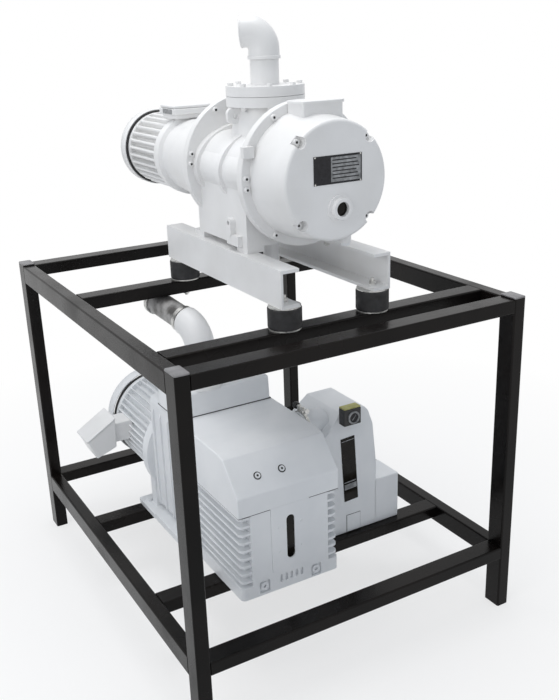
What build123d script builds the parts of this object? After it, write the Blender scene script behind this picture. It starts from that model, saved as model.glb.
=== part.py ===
"""Vacuum pump set: a Roots pump on a steel stand, with its two-stage rotary vane backing pump below.

Millimetres. X runs across the stand, Y from the gear cover at the front to the motors at the rear,
Z is up. The origin is on the floor, under the middle of the stand.
"""
from build123d import *
from math import atan2, cos, degrees, hypot, pi, radians, sin, sqrt, tan
import os

os.makedirs("parts", exist_ok=True)

# Stand of rectangular tube
stand_width = 1060.0
stand_depth = 1300.0
stand_height = 1000.0
tube_broad = 60.0
tube_narrow = 40.0
tube_wall = 3.0
tube_corner = 5.0
cap_thickness = 4.0
cap_step = 6.0            # posts with their caps stand this far above the top bars
lower_bar_top = 209.0
second_bar_y = -484.0
third_bar_y = 128.0
lower_second_y = -317.0
lower_third_y = 197.0

# Channel rails and rubber mounts under the Roots pump
rail_length = 700.0
rail_middle_y = -173.0
rail_height = 100.0
rail_flange = 53.0
rail_web = 6.0
rail_flange_thickness = 8.5
rail_half_gap = 167.0     # from the pump's middle to the outer face of each web
mount_half_gap = 137.0    # from the pump's middle to the mounts
mount_radius = 45.0
mount_height = 62.0
mount_plate = 3.0
stud_radius = 5.0
stud_clearance = 0.5
nut_width = 17.0
nut_height = 9.0

# Roots pump
pump_x = -9.0
foot_height = 16.0
axis_height = 203.0       # of the rotors above the rails
pitch_radius = 55.0       # of rotors and timing gears; half the distance between the shafts
rotor_clearance = 0.4
end_clearance = 0.5
casing_front_y = -350.0
casing_length = 300.0
casing_wall = 15.0
casing_side_wall = 22.0
mid_rib = 9.0
plate_thickness = 26.0
plate_radius = 188.0
plate_bolt_circle = 175.0
plate_screw_radius = 7.5
shaft_radius = 20.0
shaft_clearance = 0.05
bearing_radius = 40.0
bearing_width = 18.0
gear_width = 32.0
gear_teeth = 22
cover_length = 149.0
cover_base_radius = 164.0
cover_face_radius = 149.0
cover_wall = 11.0
pocket_radius = 15.0
pocket_depth = 26.0
skirt_half_width = 147.0
skirt_wall = 12.0
foot_width = 51.0
foot_bolt_inset = 25.0
lantern_length = 236.0
lantern_radius = 126.0
lantern_end_radius = 108.0
lantern_wall = 9.0

# Motor of the Roots pump
motor_radius = 114.0
motor_core_radius = 88.0
motor_fin = 6.5
motor_fins = 26
motor_length = 262.0
motor_bore = 66.0
motor_shaft_radius = 14.0
air_gap = 0.6
cowl_length = 62.0
cowl_radius = 121.0
cowl_wall = 2.5

# Inlet on top and outlet below the Roots casing
port_y = -180.0
port_radius = 40.0
neck_radius = 80.0
flange_radius = 107.0
flange_thickness = 26.0
flange_top_z = 1577.0
flange_bolt_circle = 94.0
flange_bolts = 8
gasket_gap = 1.0
inlet_stub_length = 70.0
inlet_stub_radius = 39.0
inlet_radius = 42.0
inlet_wall = 3.0
inlet_bend = 55.0
inlet_turn = 106.0
inlet_collar_radius = 44.5
inlet_collar_height = 9.0

# Rigid line from the Roots outlet to the suction hose
line_radius = 23.0
line_wall = 2.5
line_bend = 32.0
line_clearance = 3.0
line_rear_y = 226.0
line_low_z = 948.0

# Suction hose and elbow over the backing pump
hose_radius = 37.0
hose_wall = 4.0
elbow_x = -192.0
elbow_y = -50.0
elbow_radius = 45.0
elbow_wall = 4.0
elbow_bend = 75.0
elbow_rise = 112.0
hose_length = 186.0
hose_rise = 9.5          # degrees above level
hose_swing = 9.0          # degrees from the rearward direction, to the left
hose_overlap = 34.0
clamp_width = 14.0
clamp_thickness = 5.0

# Backing pump
backing_x = -143.0
backing_axis_z = 404.0
case_width = 320.0
case_front_y = -472.0
case_depth = 378.0
case_bottom_z = 213.0
case_top_z = 478.0
case_base = 40.0
case_wall = 10.0
case_fin = 7.0
case_fin_depth = 22.0
case_fins = 9
panel_width = 124.0
panel_thickness = 6.0
window_width = 26.0
window_height = 138.0
window_z = 374.0
hood_band_z = 535.0
hood_ridge_y = -395.0
hood_ridge_z = 622.0
hood_top_z = 628.0
hood_wall = 4.0
module_width = 300.0
module_length = 240.0
module_bottom_z = 232.0
chamber_radius = 72.4
rotor_radius = 60.0
rotor_offset = 12.0
vane_thickness = 8.0
port_block_depth = 158.0
port_block_height = 75.0
bell_length = 40.0
bell_radius = 176.0
bell_foot = 16.0
bell_foot_width = 370.0
bell_foot_depth = 140.0

# Motor of the backing pump
backing_motor_radius = 157.0
backing_core_radius = 128.0
backing_fins = 36
backing_fin = 4.5
backing_motor_length = 290.0
backing_bore = 92.0
backing_shaft_radius = 19.0
backing_cowl_length = 70.0
backing_cowl_radius = 163.0

# Exhaust filter beside the backing pump
filter_gap = 43.0         # from the oil case to the filter
filter_left_x = backing_x + case_width / 2 + filter_gap
filter_width = 186.0
filter_front_y = -320.0
filter_depth = 215.0
filter_top_z = 642.0
filter_wall = 6.0
filter_shoulder = 56.0
filter_box_width = 104.0
filter_box_height = 156.0
filter_box_depth = 110.0
filter_element_radius = 62.0
exhaust_y = -255.0
exhaust_z = 585.0
exhaust_radius = 40.0
exhaust_collar = 50.0

# Places that follow from the sizes above
bar_top_z = stand_height - cap_step
rail_bottom_z = bar_top_z + mount_height
rail_top_z = rail_bottom_z + rail_height
pump_z = rail_top_z + axis_height
casing_rear_y = casing_front_y + casing_length
plate_front_y = casing_front_y - plate_thickness
plate_rear_y = casing_rear_y + plate_thickness
cover_face_y = plate_front_y - cover_length
tip_radius = 1.5 * pitch_radius
root_radius = 0.5 * pitch_radius
bore_radius = tip_radius + rotor_clearance
drive_x = pump_x - pitch_radius
driven_x = pump_x + pitch_radius
lantern_rear_y = plate_rear_y + lantern_length
motor_rear_y = lantern_rear_y + motor_length
casing_bottom_z = pump_z - bore_radius - casing_wall
case_rear_y = case_front_y + case_depth
module_front_y = case_rear_y
module_rear_y = module_front_y + module_length
bell_rear_y = module_rear_y + bell_length
backing_motor_rear_y = bell_rear_y + backing_motor_length
rail_front_y = rail_middle_y - rail_length / 2
rail_rear_y = rail_middle_y + rail_length / 2


def across(y):
    """The upright plane at Y = y, drawn with X to the right and Z up. It faces the front."""
    return Plane(origin=(0, y, 0), x_dir=(1, 0, 0), z_dir=(0, -1, 0))


def along(x, z):
    """The axis that runs from front to rear through (x, z)."""
    return Axis((x, 0, z), (0, 1, 0))


def half_section(x, outline):
    """A closed outline of (y, z) points in the upright plane X = x."""
    with BuildSketch(Plane.YZ.offset(x)) as section:
        with BuildLine():
            Polyline(*outline, close=True)
        make_face()
    return section.sketch


def turned_section(x, z, outline):
    """A half section for turning about along(x, z), from (y, radius) points."""
    return half_section(x, [(y, z + radius) for y, radius in outline])


def disc_section(plane, x, z, *radii):
    """A disc of the first radius about (x, z), with a hole of the second radius if there is one."""
    with BuildSketch(plane) as section:
        with Locations((x, z)):
            Circle(radii[0])
            if len(radii) > 1:
                Circle(radii[1], mode=Mode.SUBTRACT)
    return section.sketch


def write(part, name):
    """Label a finished piece and write it as a STEP file."""
    part.label = name
    export_step(part, f"parts/{name}.step")


# ---------------------------------------------------------------- stand

post_x = (stand_width - tube_narrow) / 2
post_y = (stand_depth - tube_broad) / 2
cross_length = stand_width - 2 * tube_narrow
side_length = stand_depth - 2 * tube_broad

with BuildPart() as posts:
    with BuildSketch():
        with GridLocations(2 * post_x, 2 * post_y, 2, 2):
            RectangleRounded(tube_narrow, tube_broad, tube_corner)
            RectangleRounded(
                tube_narrow - 2 * tube_wall, tube_broad - 2 * tube_wall, tube_corner - tube_wall,
                mode=Mode.SUBTRACT,
            )
    extrude(amount=stand_height - cap_thickness)
write(posts.part, "posts")

with BuildPart() as post_caps:
    with BuildSketch(Plane.XY.offset(stand_height - cap_thickness)):
        with GridLocations(2 * post_x, 2 * post_y, 2, 2):
            RectangleRounded(tube_narrow, tube_broad, tube_corner)
    extrude(amount=cap_thickness)
    chamfer(post_caps.faces().group_by(Axis.Z)[-1].edges(), 1.0)
write(post_caps.part, "post_caps")

top_cross_ys = (-post_y, second_bar_y, third_bar_y, post_y)
lower_cross_ys = (-post_y, lower_second_y, lower_third_y, post_y)
mount_spots = [
    (pump_x + side * mount_half_gap, y) for side in (-1, 1) for y in (second_bar_y, third_bar_y)
]
bell_bolt_x = bell_foot_width / 2 - 22

with BuildPart() as crossbars:
    with BuildSketch(Plane.YZ):
        with Locations(
            *[(y, bar_top_z - tube_narrow / 2) for y in top_cross_ys],
            *[(y, lower_bar_top - tube_narrow / 2) for y in lower_cross_ys],
        ):
            RectangleRounded(tube_broad, tube_narrow, tube_corner)
            RectangleRounded(
                tube_broad - 2 * tube_wall, tube_narrow - 2 * tube_wall, tube_corner - tube_wall,
                mode=Mode.SUBTRACT,
            )
    extrude(amount=cross_length / 2, both=True)
    with Locations(*[(x, y, bar_top_z) for x, y in mount_spots]):
        Hole(stud_radius + stud_clearance, depth=tube_narrow)
    with Locations(*[(backing_x + side * bell_bolt_x, lower_third_y, lower_bar_top) for side in (-1, 1)]):
        Hole(stud_radius + stud_clearance, depth=tube_narrow)
write(crossbars.part, "crossbars")

with BuildPart() as side_bars:
    with BuildSketch(Plane.XZ):
        with Locations(
            *[(side * post_x, top - tube_broad / 2) for side in (-1, 1) for top in (bar_top_z, lower_bar_top)]
        ):
            RectangleRounded(tube_narrow, tube_broad, tube_corner)
            RectangleRounded(
                tube_narrow - 2 * tube_wall, tube_broad - 2 * tube_wall, tube_corner - tube_wall,
                mode=Mode.SUBTRACT,
            )
    extrude(amount=side_length / 2, both=True)
write(side_bars.part, "side_bars")

# ---------------------------------------------------------------- rails and rubber mounts

front_foot_y = casing_front_y + 65.0
rear_foot_y = casing_rear_y + plate_thickness + 19.0
foot_length = 60.0
foot_x = skirt_half_width - foot_bolt_inset

for name, side in (("left_rail", -1), ("right_rail", 1)):
    web_x = pump_x + side * rail_half_gap
    tip_x = web_x - side * rail_flange
    inner_x = web_x - side * rail_web
    low_z = rail_bottom_z + rail_flange_thickness
    high_z = rail_top_z - rail_flange_thickness
    with BuildPart() as rail:
        with BuildSketch(across(rail_rear_y)) as channel:
            with BuildLine():
                Polyline(
                    (web_x, rail_bottom_z), (tip_x, rail_bottom_z), (tip_x, low_z), (inner_x, low_z),
                    (inner_x, high_z), (tip_x, high_z), (tip_x, rail_top_z), (web_x, rail_top_z), close=True,
                )
            make_face()
            corners = channel.vertices().filter_by(lambda v: rail_bottom_z + 1 < v.Z < rail_top_z - 1)
            fillet(corners.filter_by(lambda v: abs(v.X - inner_x) < 1), rail_flange_thickness)
            fillet(
                channel.vertices().filter_by(
                    lambda v: abs(v.X - tip_x) < 1 and rail_bottom_z + 1 < v.Z < rail_top_z - 1
                ),
                rail_flange_thickness / 2,
            )
        extrude(amount=rail_length)
        spots = [(x, y, low_z) for x, y in mount_spots if (x - pump_x) * side > 0]
        with Locations(*spots):
            Hole(stud_radius + stud_clearance, depth=2 * rail_flange_thickness)
        with Locations(
            (pump_x + side * foot_x, front_foot_y, rail_top_z), (pump_x + side * foot_x, rear_foot_y, rail_top_z)
        ):
            Hole(stud_radius + stud_clearance, depth=2 * rail_flange_thickness)
    write(rail.part, name)

with BuildPart() as rubber_mounts:
    with BuildSketch(Plane.XY.offset(bar_top_z + mount_plate)):
        with Locations(*mount_spots):
            Circle(mount_radius)
    extrude(amount=mount_height - 2 * mount_plate)
    fillet(rubber_mounts.edges().filter_by(GeomType.CIRCLE), 4.0)
write(rubber_mounts.part, "rubber_mounts")

top_stud = rail_flange_thickness + nut_height + 9.0
bottom_stud = tube_narrow + nut_height + 5.0
with BuildPart() as mount_studs:
    for base_z, stud_end_z in (
        (bar_top_z, bar_top_z - bottom_stud), (rail_bottom_z - mount_plate, rail_bottom_z + top_stud)
    ):
        with BuildSketch(Plane.XY.offset(base_z)):
            with Locations(*mount_spots):
                Circle(mount_radius - 2)
        extrude(amount=mount_plate)
        with BuildSketch(Plane.XY.offset(base_z)):
            with Locations(*mount_spots):
                Circle(stud_radius)
        extrude(amount=stud_end_z - base_z)
write(mount_studs.part, "mount_studs")

foot_spots = [
    (pump_x + side * foot_x, y) for side in (-1, 1) for y in (front_foot_y, rear_foot_y)
]
with BuildPart() as rail_fasteners:
    # nuts on both ends of each mount
    for face_z in (rail_bottom_z + rail_flange_thickness, bar_top_z - tube_narrow - nut_height):
        with BuildSketch(Plane.XY.offset(face_z)):
            with Locations(*mount_spots):
                RegularPolygon(nut_width / 2, 6, major_radius=False)
                Circle(stud_radius + shaft_clearance, mode=Mode.SUBTRACT)
        extrude(amount=nut_height)
    # bolts through the pump's feet and the rails, with their nuts
    with BuildSketch(Plane.XY.offset(rail_top_z + foot_height)):
        with Locations(*foot_spots):
            RegularPolygon(nut_width / 2, 6, major_radius=False)
    extrude(amount=nut_height - 2)
    with BuildSketch(Plane.XY.offset(rail_top_z + foot_height)):
        with Locations(*foot_spots):
            Circle(stud_radius)
    extrude(amount=-(foot_height + rail_flange_thickness + nut_height + 4))
    with BuildSketch(Plane.XY.offset(rail_top_z - rail_flange_thickness - nut_height)):
        with Locations(*foot_spots):
            RegularPolygon(nut_width / 2, 6, major_radius=False)
    extrude(amount=nut_height)
write(rail_fasteners.part, "rail_fasteners")

# ---------------------------------------------------------------- Roots casing


def ring_spots(radius, *angles):
    """Points on a circle about the Roots pump's middle, as (x, z)."""
    return [(pump_x + radius * cos(radians(a)), pump_z + radius * sin(radians(a))) for a in angles]


neck_bottom_z = pump_z + bore_radius + casing_wall - 12
flange_bottom_z = flange_top_z - 2 * flange_thickness - gasket_gap
lower_flange_top_z = flange_bottom_z + flange_thickness
outlet_z = rail_top_z + 42.0
outlet_flange = 12.0
skirt_rear_y = casing_rear_y
skirt_front_y = front_foot_y - foot_length / 2

with BuildPart() as roots_casing:
    with BuildSketch(across(casing_rear_y)):
        with Locations((pump_x, pump_z)):
            SlotCenterToCenter(2 * pitch_radius, 2 * (bore_radius + casing_wall))
            Ellipse(pitch_radius + bore_radius + casing_side_wall, bore_radius + casing_wall)
    extrude(amount=casing_length)
    # rounded ribs round the body, at its middle and against both end plates
    for rib_y, rib_width in (
        (casing_rear_y, 24.0), ((casing_front_y + casing_rear_y) / 2 + 10, 20.0), (casing_front_y + 24, 24.0)
    ):
        with BuildSketch(across(rib_y)):
            with Locations((pump_x, pump_z)):
                Ellipse(
                    pitch_radius + bore_radius + casing_side_wall + mid_rib,
                    bore_radius + casing_wall + mid_rib + 8,
                )
        extrude(amount=rib_width)
    # skirt with its two front feet, open below
    with BuildSketch(Plane.XY.offset(rail_top_z + foot_height)):
        with Locations((pump_x, (skirt_front_y + skirt_rear_y) / 2)):
            Rectangle(2 * skirt_half_width, skirt_rear_y - skirt_front_y)
    extrude(amount=axis_height - foot_height)
    with BuildSketch(Plane.XY.offset(rail_top_z)):
        for side in (-1, 1):
            with Locations((pump_x + side * (skirt_half_width - foot_width / 2), front_foot_y)):
                Rectangle(foot_width, foot_length)
    extrude(amount=foot_height)
    with BuildSketch(Plane.XY.offset(rail_top_z)):
        with Locations((pump_x, (skirt_front_y + skirt_rear_y) / 2)):
            Rectangle(2 * (skirt_half_width - skirt_wall), skirt_rear_y - skirt_front_y - 2 * skirt_wall)
    extrude(amount=casing_bottom_z - rail_top_z, mode=Mode.SUBTRACT)
    for side in (-1, 1):
        with BuildSketch(Plane.XY.offset(rail_top_z)):
            with Locations((pump_x + side * (skirt_half_width - foot_width / 2), front_foot_y)):
                Rectangle(foot_width, foot_length)
        extrude(amount=foot_height)
    # inlet neck flaring into the body, and its flange
    with BuildSketch(Plane.XY.offset(neck_bottom_z)):
        with Locations((pump_x, port_y)):
            Circle(neck_radius + 20)
    with BuildSketch(Plane.XY.offset(flange_bottom_z)):
        with Locations((pump_x, port_y)):
            Circle(neck_radius)
    loft()
    with BuildSketch(Plane.XY.offset(flange_bottom_z)):
        with Locations((pump_x, port_y)):
            Circle(flange_radius)
    extrude(amount=flange_thickness)
    # outlet neck and flange inside the skirt
    with BuildSketch(Plane.XY.offset(outlet_z)):
        with Locations((pump_x, port_y)):
            Circle(line_radius + 14)
    extrude(amount=pump_z - outlet_z)
    with BuildSketch(Plane.XY.offset(outlet_z)):
        with Locations((pump_x, port_y)):
            Circle(line_radius + 37)
    extrude(amount=outlet_flange)
    # lifting eye beside the neck, and one on the skirt
    with BuildSketch(across(port_y + 7)):
        with Locations((pump_x - neck_radius - 18, flange_bottom_z - 22)):
            RectangleRounded(44, 40, 14)
            Circle(8, mode=Mode.SUBTRACT)
    extrude(amount=14)
    with BuildSketch(Plane.YZ.offset(pump_x - skirt_half_width - 16)):
        with Locations((front_foot_y + 45, rail_top_z + 62)):
            SlotOverall(52, 26, rotation=90)
            with Locations((0, 12)):
                Circle(6, mode=Mode.SUBTRACT)
    extrude(amount=20)
    with BuildSketch(Plane.YZ.offset(pump_x - skirt_half_width - 14)):
        with Locations((front_foot_y + 28, rail_top_z + foot_height + 14)):
            Rectangle(66, 28)
    extrude(amount=20)
    # rotor chamber, inlet and outlet passages
    with BuildSketch(across(casing_rear_y)):
        with Locations((pump_x, pump_z)):
            SlotCenterToCenter(2 * pitch_radius, 2 * bore_radius)
    extrude(amount=casing_length, mode=Mode.SUBTRACT)
    with Locations((pump_x, port_y, lower_flange_top_z)):
        Hole(port_radius, depth=lower_flange_top_z - pump_z)
        with PolarLocations(flange_bolt_circle, flange_bolts, start_angle=22.5):
            Hole(5.5, depth=flange_thickness)
    with BuildSketch(Plane.XY.offset(outlet_z)):
        with Locations((pump_x, port_y)):
            Circle(line_radius - line_wall)
            with PolarLocations(line_radius + 26, 4, start_angle=45):
                Circle(4.5)
    extrude(amount=pump_z - outlet_z, mode=Mode.SUBTRACT)
    with Locations(*[(x, y, rail_top_z + foot_height) for x, y in foot_spots]):
        Hole(stud_radius + stud_clearance, depth=foot_height)
write(roots_casing.part, "roots_casing")

bearing_spots = ((drive_x, pump_z), (driven_x, pump_z))

with BuildPart() as front_end_plate:
    extrude(disc_section(across(casing_front_y), pump_x, pump_z, plate_radius), amount=plate_thickness)
    fillet(front_end_plate.edges().filter_by(GeomType.CIRCLE), 2.0)
    # raised lug on the left of the rim
    with BuildSketch(across(plate_front_y)):
        with Locations((pump_x - plate_bolt_circle + 4, pump_z + 72)):
            Rectangle(30, 28)
    extrude(amount=16)
    with BuildSketch(across(plate_front_y)):
        with Locations(*bearing_spots):
            Circle(bearing_radius + shaft_clearance)
    extrude(amount=-bearing_width, mode=Mode.SUBTRACT)
    with BuildSketch(across(casing_front_y)):
        with Locations(*bearing_spots):
            Circle(shaft_radius + 0.5)
    extrude(amount=plate_thickness, mode=Mode.SUBTRACT)
write(front_end_plate.part, "front_end_plate")

with BuildPart() as rear_end_plate:
    extrude(disc_section(across(plate_rear_y), pump_x, pump_z, plate_radius), amount=plate_thickness)
    fillet(rear_end_plate.edges().filter_by(GeomType.CIRCLE), 2.0)
    # the two rear legs run down from the plate and turn into feet
    with BuildSketch(across(plate_rear_y)):
        for side in (-1, 1):
            with BuildLine():
                Polyline(
                    (pump_x + side * (skirt_half_width - foot_width), rail_top_z),
                    (pump_x + side * skirt_half_width, rail_top_z),
                    (pump_x + side * skirt_half_width, pump_z - 110),
                    (pump_x + side * (plate_radius - 8), pump_z - 50),
                    (pump_x + side * (skirt_half_width - foot_width), pump_z - 60),
                    close=True,
                )
            make_face()
    extrude(amount=plate_thickness)
    with BuildSketch(Plane.XY.offset(rail_top_z)):
        for side in (-1, 1):
            with Locations((pump_x + side * (skirt_half_width - foot_width / 2), rear_foot_y + 17 - foot_length / 2)):
                Rectangle(foot_width, foot_length)
    extrude(amount=foot_height)
    with BuildSketch(across(plate_rear_y)):
        with Locations(*bearing_spots):
            Circle(bearing_radius + shaft_clearance)
    extrude(amount=bearing_width, mode=Mode.SUBTRACT)
    with BuildSketch(across(plate_rear_y)):
        with Locations(*bearing_spots):
            Circle(shaft_radius + 0.5)
    extrude(amount=plate_thickness, mode=Mode.SUBTRACT)
    with Locations(*[(x, y, rail_top_z + foot_height) for x, y in foot_spots]):
        Hole(stud_radius + stud_clearance, depth=foot_height)
write(rear_end_plate.part, "rear_end_plate")

with BuildPart() as rotor_bearings:
    for face_y in (plate_front_y + bearing_width, plate_rear_y):
        with BuildSketch(across(face_y)):
            with Locations(*bearing_spots):
                Circle(bearing_radius)
                Circle(shaft_radius + shaft_clearance, mode=Mode.SUBTRACT)
        extrude(amount=bearing_width)
write(rotor_bearings.part, "rotor_bearings")

# ---------------------------------------------------------------- gear cover at the front

pocket_spots = ring_spots(cover_face_radius - 6, 45, 135, 225, 315)
floor_y = cover_face_y + cover_wall
glass_z = pump_z - 69.0
glass_x = pump_x + 9.0
glass_radius = 20.0
glass_ring_radius = 36.0
glass_ring_height = 12.0
box_width = 119.0
box_length = 76.0
box_top_z = pump_z + 182.0
box_x = pump_x + 11.0
box_wall = 5.0
drain_x = pump_x + 56.0

with BuildPart() as gear_cover:
    revolve(
        turned_section(pump_x, pump_z, [
            (plate_front_y, 0), (plate_front_y, cover_base_radius), (plate_front_y - 18, cover_base_radius),
            (cover_face_y, cover_face_radius), (cover_face_y, 0),
        ]),
        axis=along(pump_x, pump_z),
    )
    fillet(gear_cover.edges().filter_by(GeomType.CIRCLE).group_by(Axis.Y)[0], 9.0)
    # oil filler box on top
    with BuildSketch(Plane.XY.offset(pump_z + cover_face_radius - 30)):
        with Locations((box_x, plate_front_y - box_length / 2)):
            RectangleRounded(box_width, box_length, 6)
    extrude(amount=box_top_z - pump_z - cover_face_radius + 30)
    # boss for the sight glass, and one for the drain plug underneath
    extrude(
        disc_section(across(cover_face_y + 2), glass_x, glass_z, glass_ring_radius), amount=glass_ring_height / 2
    )
    with BuildSketch(Plane.XY.offset(pump_z - cover_face_radius - 20)):
        with Locations((drain_x, cover_face_y + 48)):
            Circle(15)
    extrude(amount=60)
    # gear chamber, open towards the end plate
    revolve(
        turned_section(pump_x, pump_z, [
            (plate_front_y, 0), (plate_front_y, cover_base_radius - cover_wall - 4),
            (plate_front_y - 22, cover_base_radius - cover_wall - 4),
            (floor_y, cover_face_radius - cover_wall - 18), (floor_y, 0),
        ]),
        axis=along(pump_x, pump_z), mode=Mode.SUBTRACT,
    )
    with BuildSketch(Plane.XY.offset(pump_z + cover_face_radius - 30)):
        with Locations((box_x, plate_front_y - box_length / 2)):
            RectangleRounded(box_width - 2 * box_wall, box_length - 2 * box_wall, 4)
    extrude(amount=box_top_z - pump_z, mode=Mode.SUBTRACT)
    # four open pockets in the rim, each with a screw at its floor
    for x, z in pocket_spots:
        extrude(disc_section(across(cover_face_y + pocket_depth), x, z, pocket_radius), amount=pocket_depth + 1,
                mode=Mode.SUBTRACT)
        extrude(disc_section(across(plate_front_y), x, z, 5.5), amount=cover_length, mode=Mode.SUBTRACT)
    extrude(disc_section(across(floor_y), glass_x, glass_z, glass_radius + 0.3), amount=cover_wall + 20,
            mode=Mode.SUBTRACT)
    with Locations(Plane(origin=(drain_x, cover_face_y + 48, pump_z - cover_face_radius - 20), z_dir=(0, 0, -1))):
        Hole(8 + 0.1, depth=80)
write(gear_cover.part, "gear_cover")

with BuildPart() as roots_screws:
    # socket head screws on the front of each plate
    for face_y, angles in (
        (plate_front_y, (-9, 9, 34, 59, 121, 146, 171, 189, 214, 239, 270, 301, 326)),
        (casing_rear_y, (-9, 9, 34, 59, 121, 146, 171, 189)),
    ):
        with BuildSketch(across(face_y)):
            with Locations(*ring_spots(plate_bolt_circle, *angles)):
                Circle(plate_screw_radius)
        extrude(amount=8)
        with BuildSketch(across(face_y - 8)):
            with Locations(*ring_spots(plate_bolt_circle, *angles)):
                RegularPolygon(3.5, 6, major_radius=False)
        extrude(amount=-5, mode=Mode.SUBTRACT)
    # long screws in the pockets of the gear cover
    with BuildSketch(across(cover_face_y + pocket_depth)):
        with Locations(*pocket_spots):
            Circle(9.0)
    extrude(amount=10)
    with BuildSketch(across(cover_face_y + pocket_depth - 10)):
        with Locations(*pocket_spots):
            RegularPolygon(4, 6, major_radius=False)
    extrude(amount=-6, mode=Mode.SUBTRACT)
    with BuildSketch(across(cover_face_y + pocket_depth)):
        with Locations(*pocket_spots):
            Circle(5.0)
    extrude(amount=-(cover_length - pocket_depth - 0.5))
write(roots_screws.part, "roots_screws")

with BuildPart() as filler_box_lid:
    with BuildSketch(Plane.XY.offset(box_top_z)):
        with Locations((box_x, plate_front_y - box_length / 2 - 2)):
            RectangleRounded(box_width + 6, box_length + 2, 6)
    extrude(amount=7)
    fillet(filler_box_lid.faces().sort_by(Axis.Z)[-1].edges(), 2.0)
write(filler_box_lid.part, "filler_box_lid")

with BuildPart() as sight_glass_ring:
    extrude(
        disc_section(
            across(cover_face_y + 2 - glass_ring_height / 2), glass_x, glass_z, glass_ring_radius - 8, glass_radius - 2
        ),
        amount=glass_ring_height,
    )
    fillet(sight_glass_ring.edges().filter_by(GeomType.CIRCLE).group_by(Axis.Y)[0], 2.5)
write(sight_glass_ring.part, "sight_glass_ring")

with BuildPart() as sight_glass:
    extrude(
        disc_section(across(floor_y), glass_x, glass_z, glass_radius),
        amount=floor_y - cover_face_y - 2 + glass_ring_height / 2,
    )
write(sight_glass.part, "sight_glass")

# ---------------------------------------------------------------- rotors and timing gears


def rotor_outline(x, turn):
    """Two-lobed Roots profile about (x, pump_z).

    The lobes are epicycloids and the waists hypocycloids of one rolling circle, a quarter of the
    pitch circle, all set back along their normals by half the running clearance.
    """
    roll = pitch_radius / 4
    steps = 7
    points = []
    for quarter in range(4):
        sign = 1 if quarter % 2 == 0 else -1
        middle = radians(90.0 * quarter + turn)
        for i in range(steps):
            phase = -pi / 4 + pi / 2 * (i + 0.5) / steps
            centre = pitch_radius + sign * roll
            spin = phase + pi / 4
            swing = spin * pitch_radius / roll
            px = centre * cos(phase) - sign * roll * cos(phase + sign * swing)
            py = centre * sin(phase) - sign * roll * sin(phase + sign * swing)
            cx, cy = pitch_radius * cos(phase), pitch_radius * sin(phase)
            away = hypot(px - cx, py - cy)
            back = sign * rotor_clearance / 2 / away
            px, py = px - back * (px - cx), py - back * (py - cy)
            points.append((
                x + px * cos(middle) - py * sin(middle), pump_z + px * sin(middle) + py * cos(middle)
            ))
    return points


def involute_tooth(module, teeth, backlash):
    """Half of a tooth as (radius, half angle) points from root to tip, for a 20 degree gear."""
    pitch = module * teeth / 2
    base = pitch * cos(radians(20))
    at_pitch = pi / (2 * teeth) - backlash / pitch
    lead = at_pitch + tan(radians(20)) - radians(20)
    half = [(pitch - 1.25 * module, lead)]
    for i in range(4):
        radius = base + (pitch + module - base) * i / 3
        roll = sqrt(max(radius * radius / base / base - 1, 0))
        half.append((radius, lead - (roll - atan2(roll, 1))))
    return half


rotor_length = casing_length - 2 * end_clearance
gear_y = plate_front_y - 12.0
shaft_front_y = gear_y - gear_width - 14.0
shaft_rear_y = plate_rear_y + 12.0
coupling_y = plate_rear_y + 62.0
gear_module = 2 * pitch_radius / gear_teeth

with BuildPart() as drive_rotor:
    with BuildSketch(across(casing_rear_y - end_clearance)):
        with BuildLine():
            Spline(*rotor_outline(drive_x, 90.0), periodic=True)
        make_face()
    extrude(amount=rotor_length)
    extrude(
        disc_section(across(coupling_y), drive_x, pump_z, shaft_radius), amount=coupling_y - shaft_front_y
    )
write(drive_rotor.part, "drive_rotor")

with BuildPart() as driven_rotor:
    with BuildSketch(across(casing_rear_y - end_clearance)):
        with BuildLine():
            Spline(*rotor_outline(driven_x, 0.0), periodic=True)
        make_face()
    extrude(amount=rotor_length)
    extrude(
        disc_section(across(shaft_rear_y), driven_x, pump_z, shaft_radius), amount=shaft_rear_y - shaft_front_y
    )
write(driven_rotor.part, "driven_rotor")

for name, x, turn in (("drive_timing_gear", drive_x, 0.0), ("driven_timing_gear", driven_x, 180.0 / gear_teeth)):
    half = involute_tooth(gear_module, gear_teeth, 0.25)
    rim = []
    for tooth in range(gear_teeth):
        middle = radians(turn + 360.0 * tooth / gear_teeth)
        for radius, angle in half:
            rim.append((x + radius * cos(middle - angle), pump_z + radius * sin(middle - angle)))
        for radius, angle in reversed(half):
            rim.append((x + radius * cos(middle + angle), pump_z + radius * sin(middle + angle)))
    with BuildPart() as gear:
        with BuildSketch(across(gear_y)):
            with BuildLine():
                Polyline(*rim, close=True)
            make_face()
            with Locations((x, pump_z)):
                Circle(shaft_radius, mode=Mode.SUBTRACT)
        extrude(amount=gear_width)
    write(gear.part, name)

# ---------------------------------------------------------------- lantern, coupling and motor

motor_front_y = lantern_rear_y
spider_length = 16.0
hub_length = 34.0
hub_radius = 42.0
motor_end_length = 16.0

with BuildPart() as lantern:
    revolve(
        turned_section(drive_x, pump_z, [
            (plate_rear_y, lantern_radius - 2 * lantern_wall), (plate_rear_y, lantern_radius + 4),
            (plate_rear_y + 14, lantern_radius + 4), (plate_rear_y + 20, lantern_radius - 4),
            (lantern_rear_y - 34, lantern_end_radius), (lantern_rear_y - 28, motor_radius + 6),
            (lantern_rear_y, motor_radius + 6), (lantern_rear_y, motor_bore + 20),
            (lantern_rear_y - 14, motor_bore + 20), (lantern_rear_y - 14, lantern_end_radius - lantern_wall),
            (lantern_rear_y - 34, lantern_end_radius - lantern_wall),
            (plate_rear_y + 20, lantern_radius - 4 - lantern_wall),
        ]),
        axis=along(drive_x, pump_z),
    )
    # room for the bearing cover of the driven shaft
    extrude(
        disc_section(across(plate_rear_y + 30), driven_x, pump_z, bearing_radius + 6), amount=40, mode=Mode.SUBTRACT
    )
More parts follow.
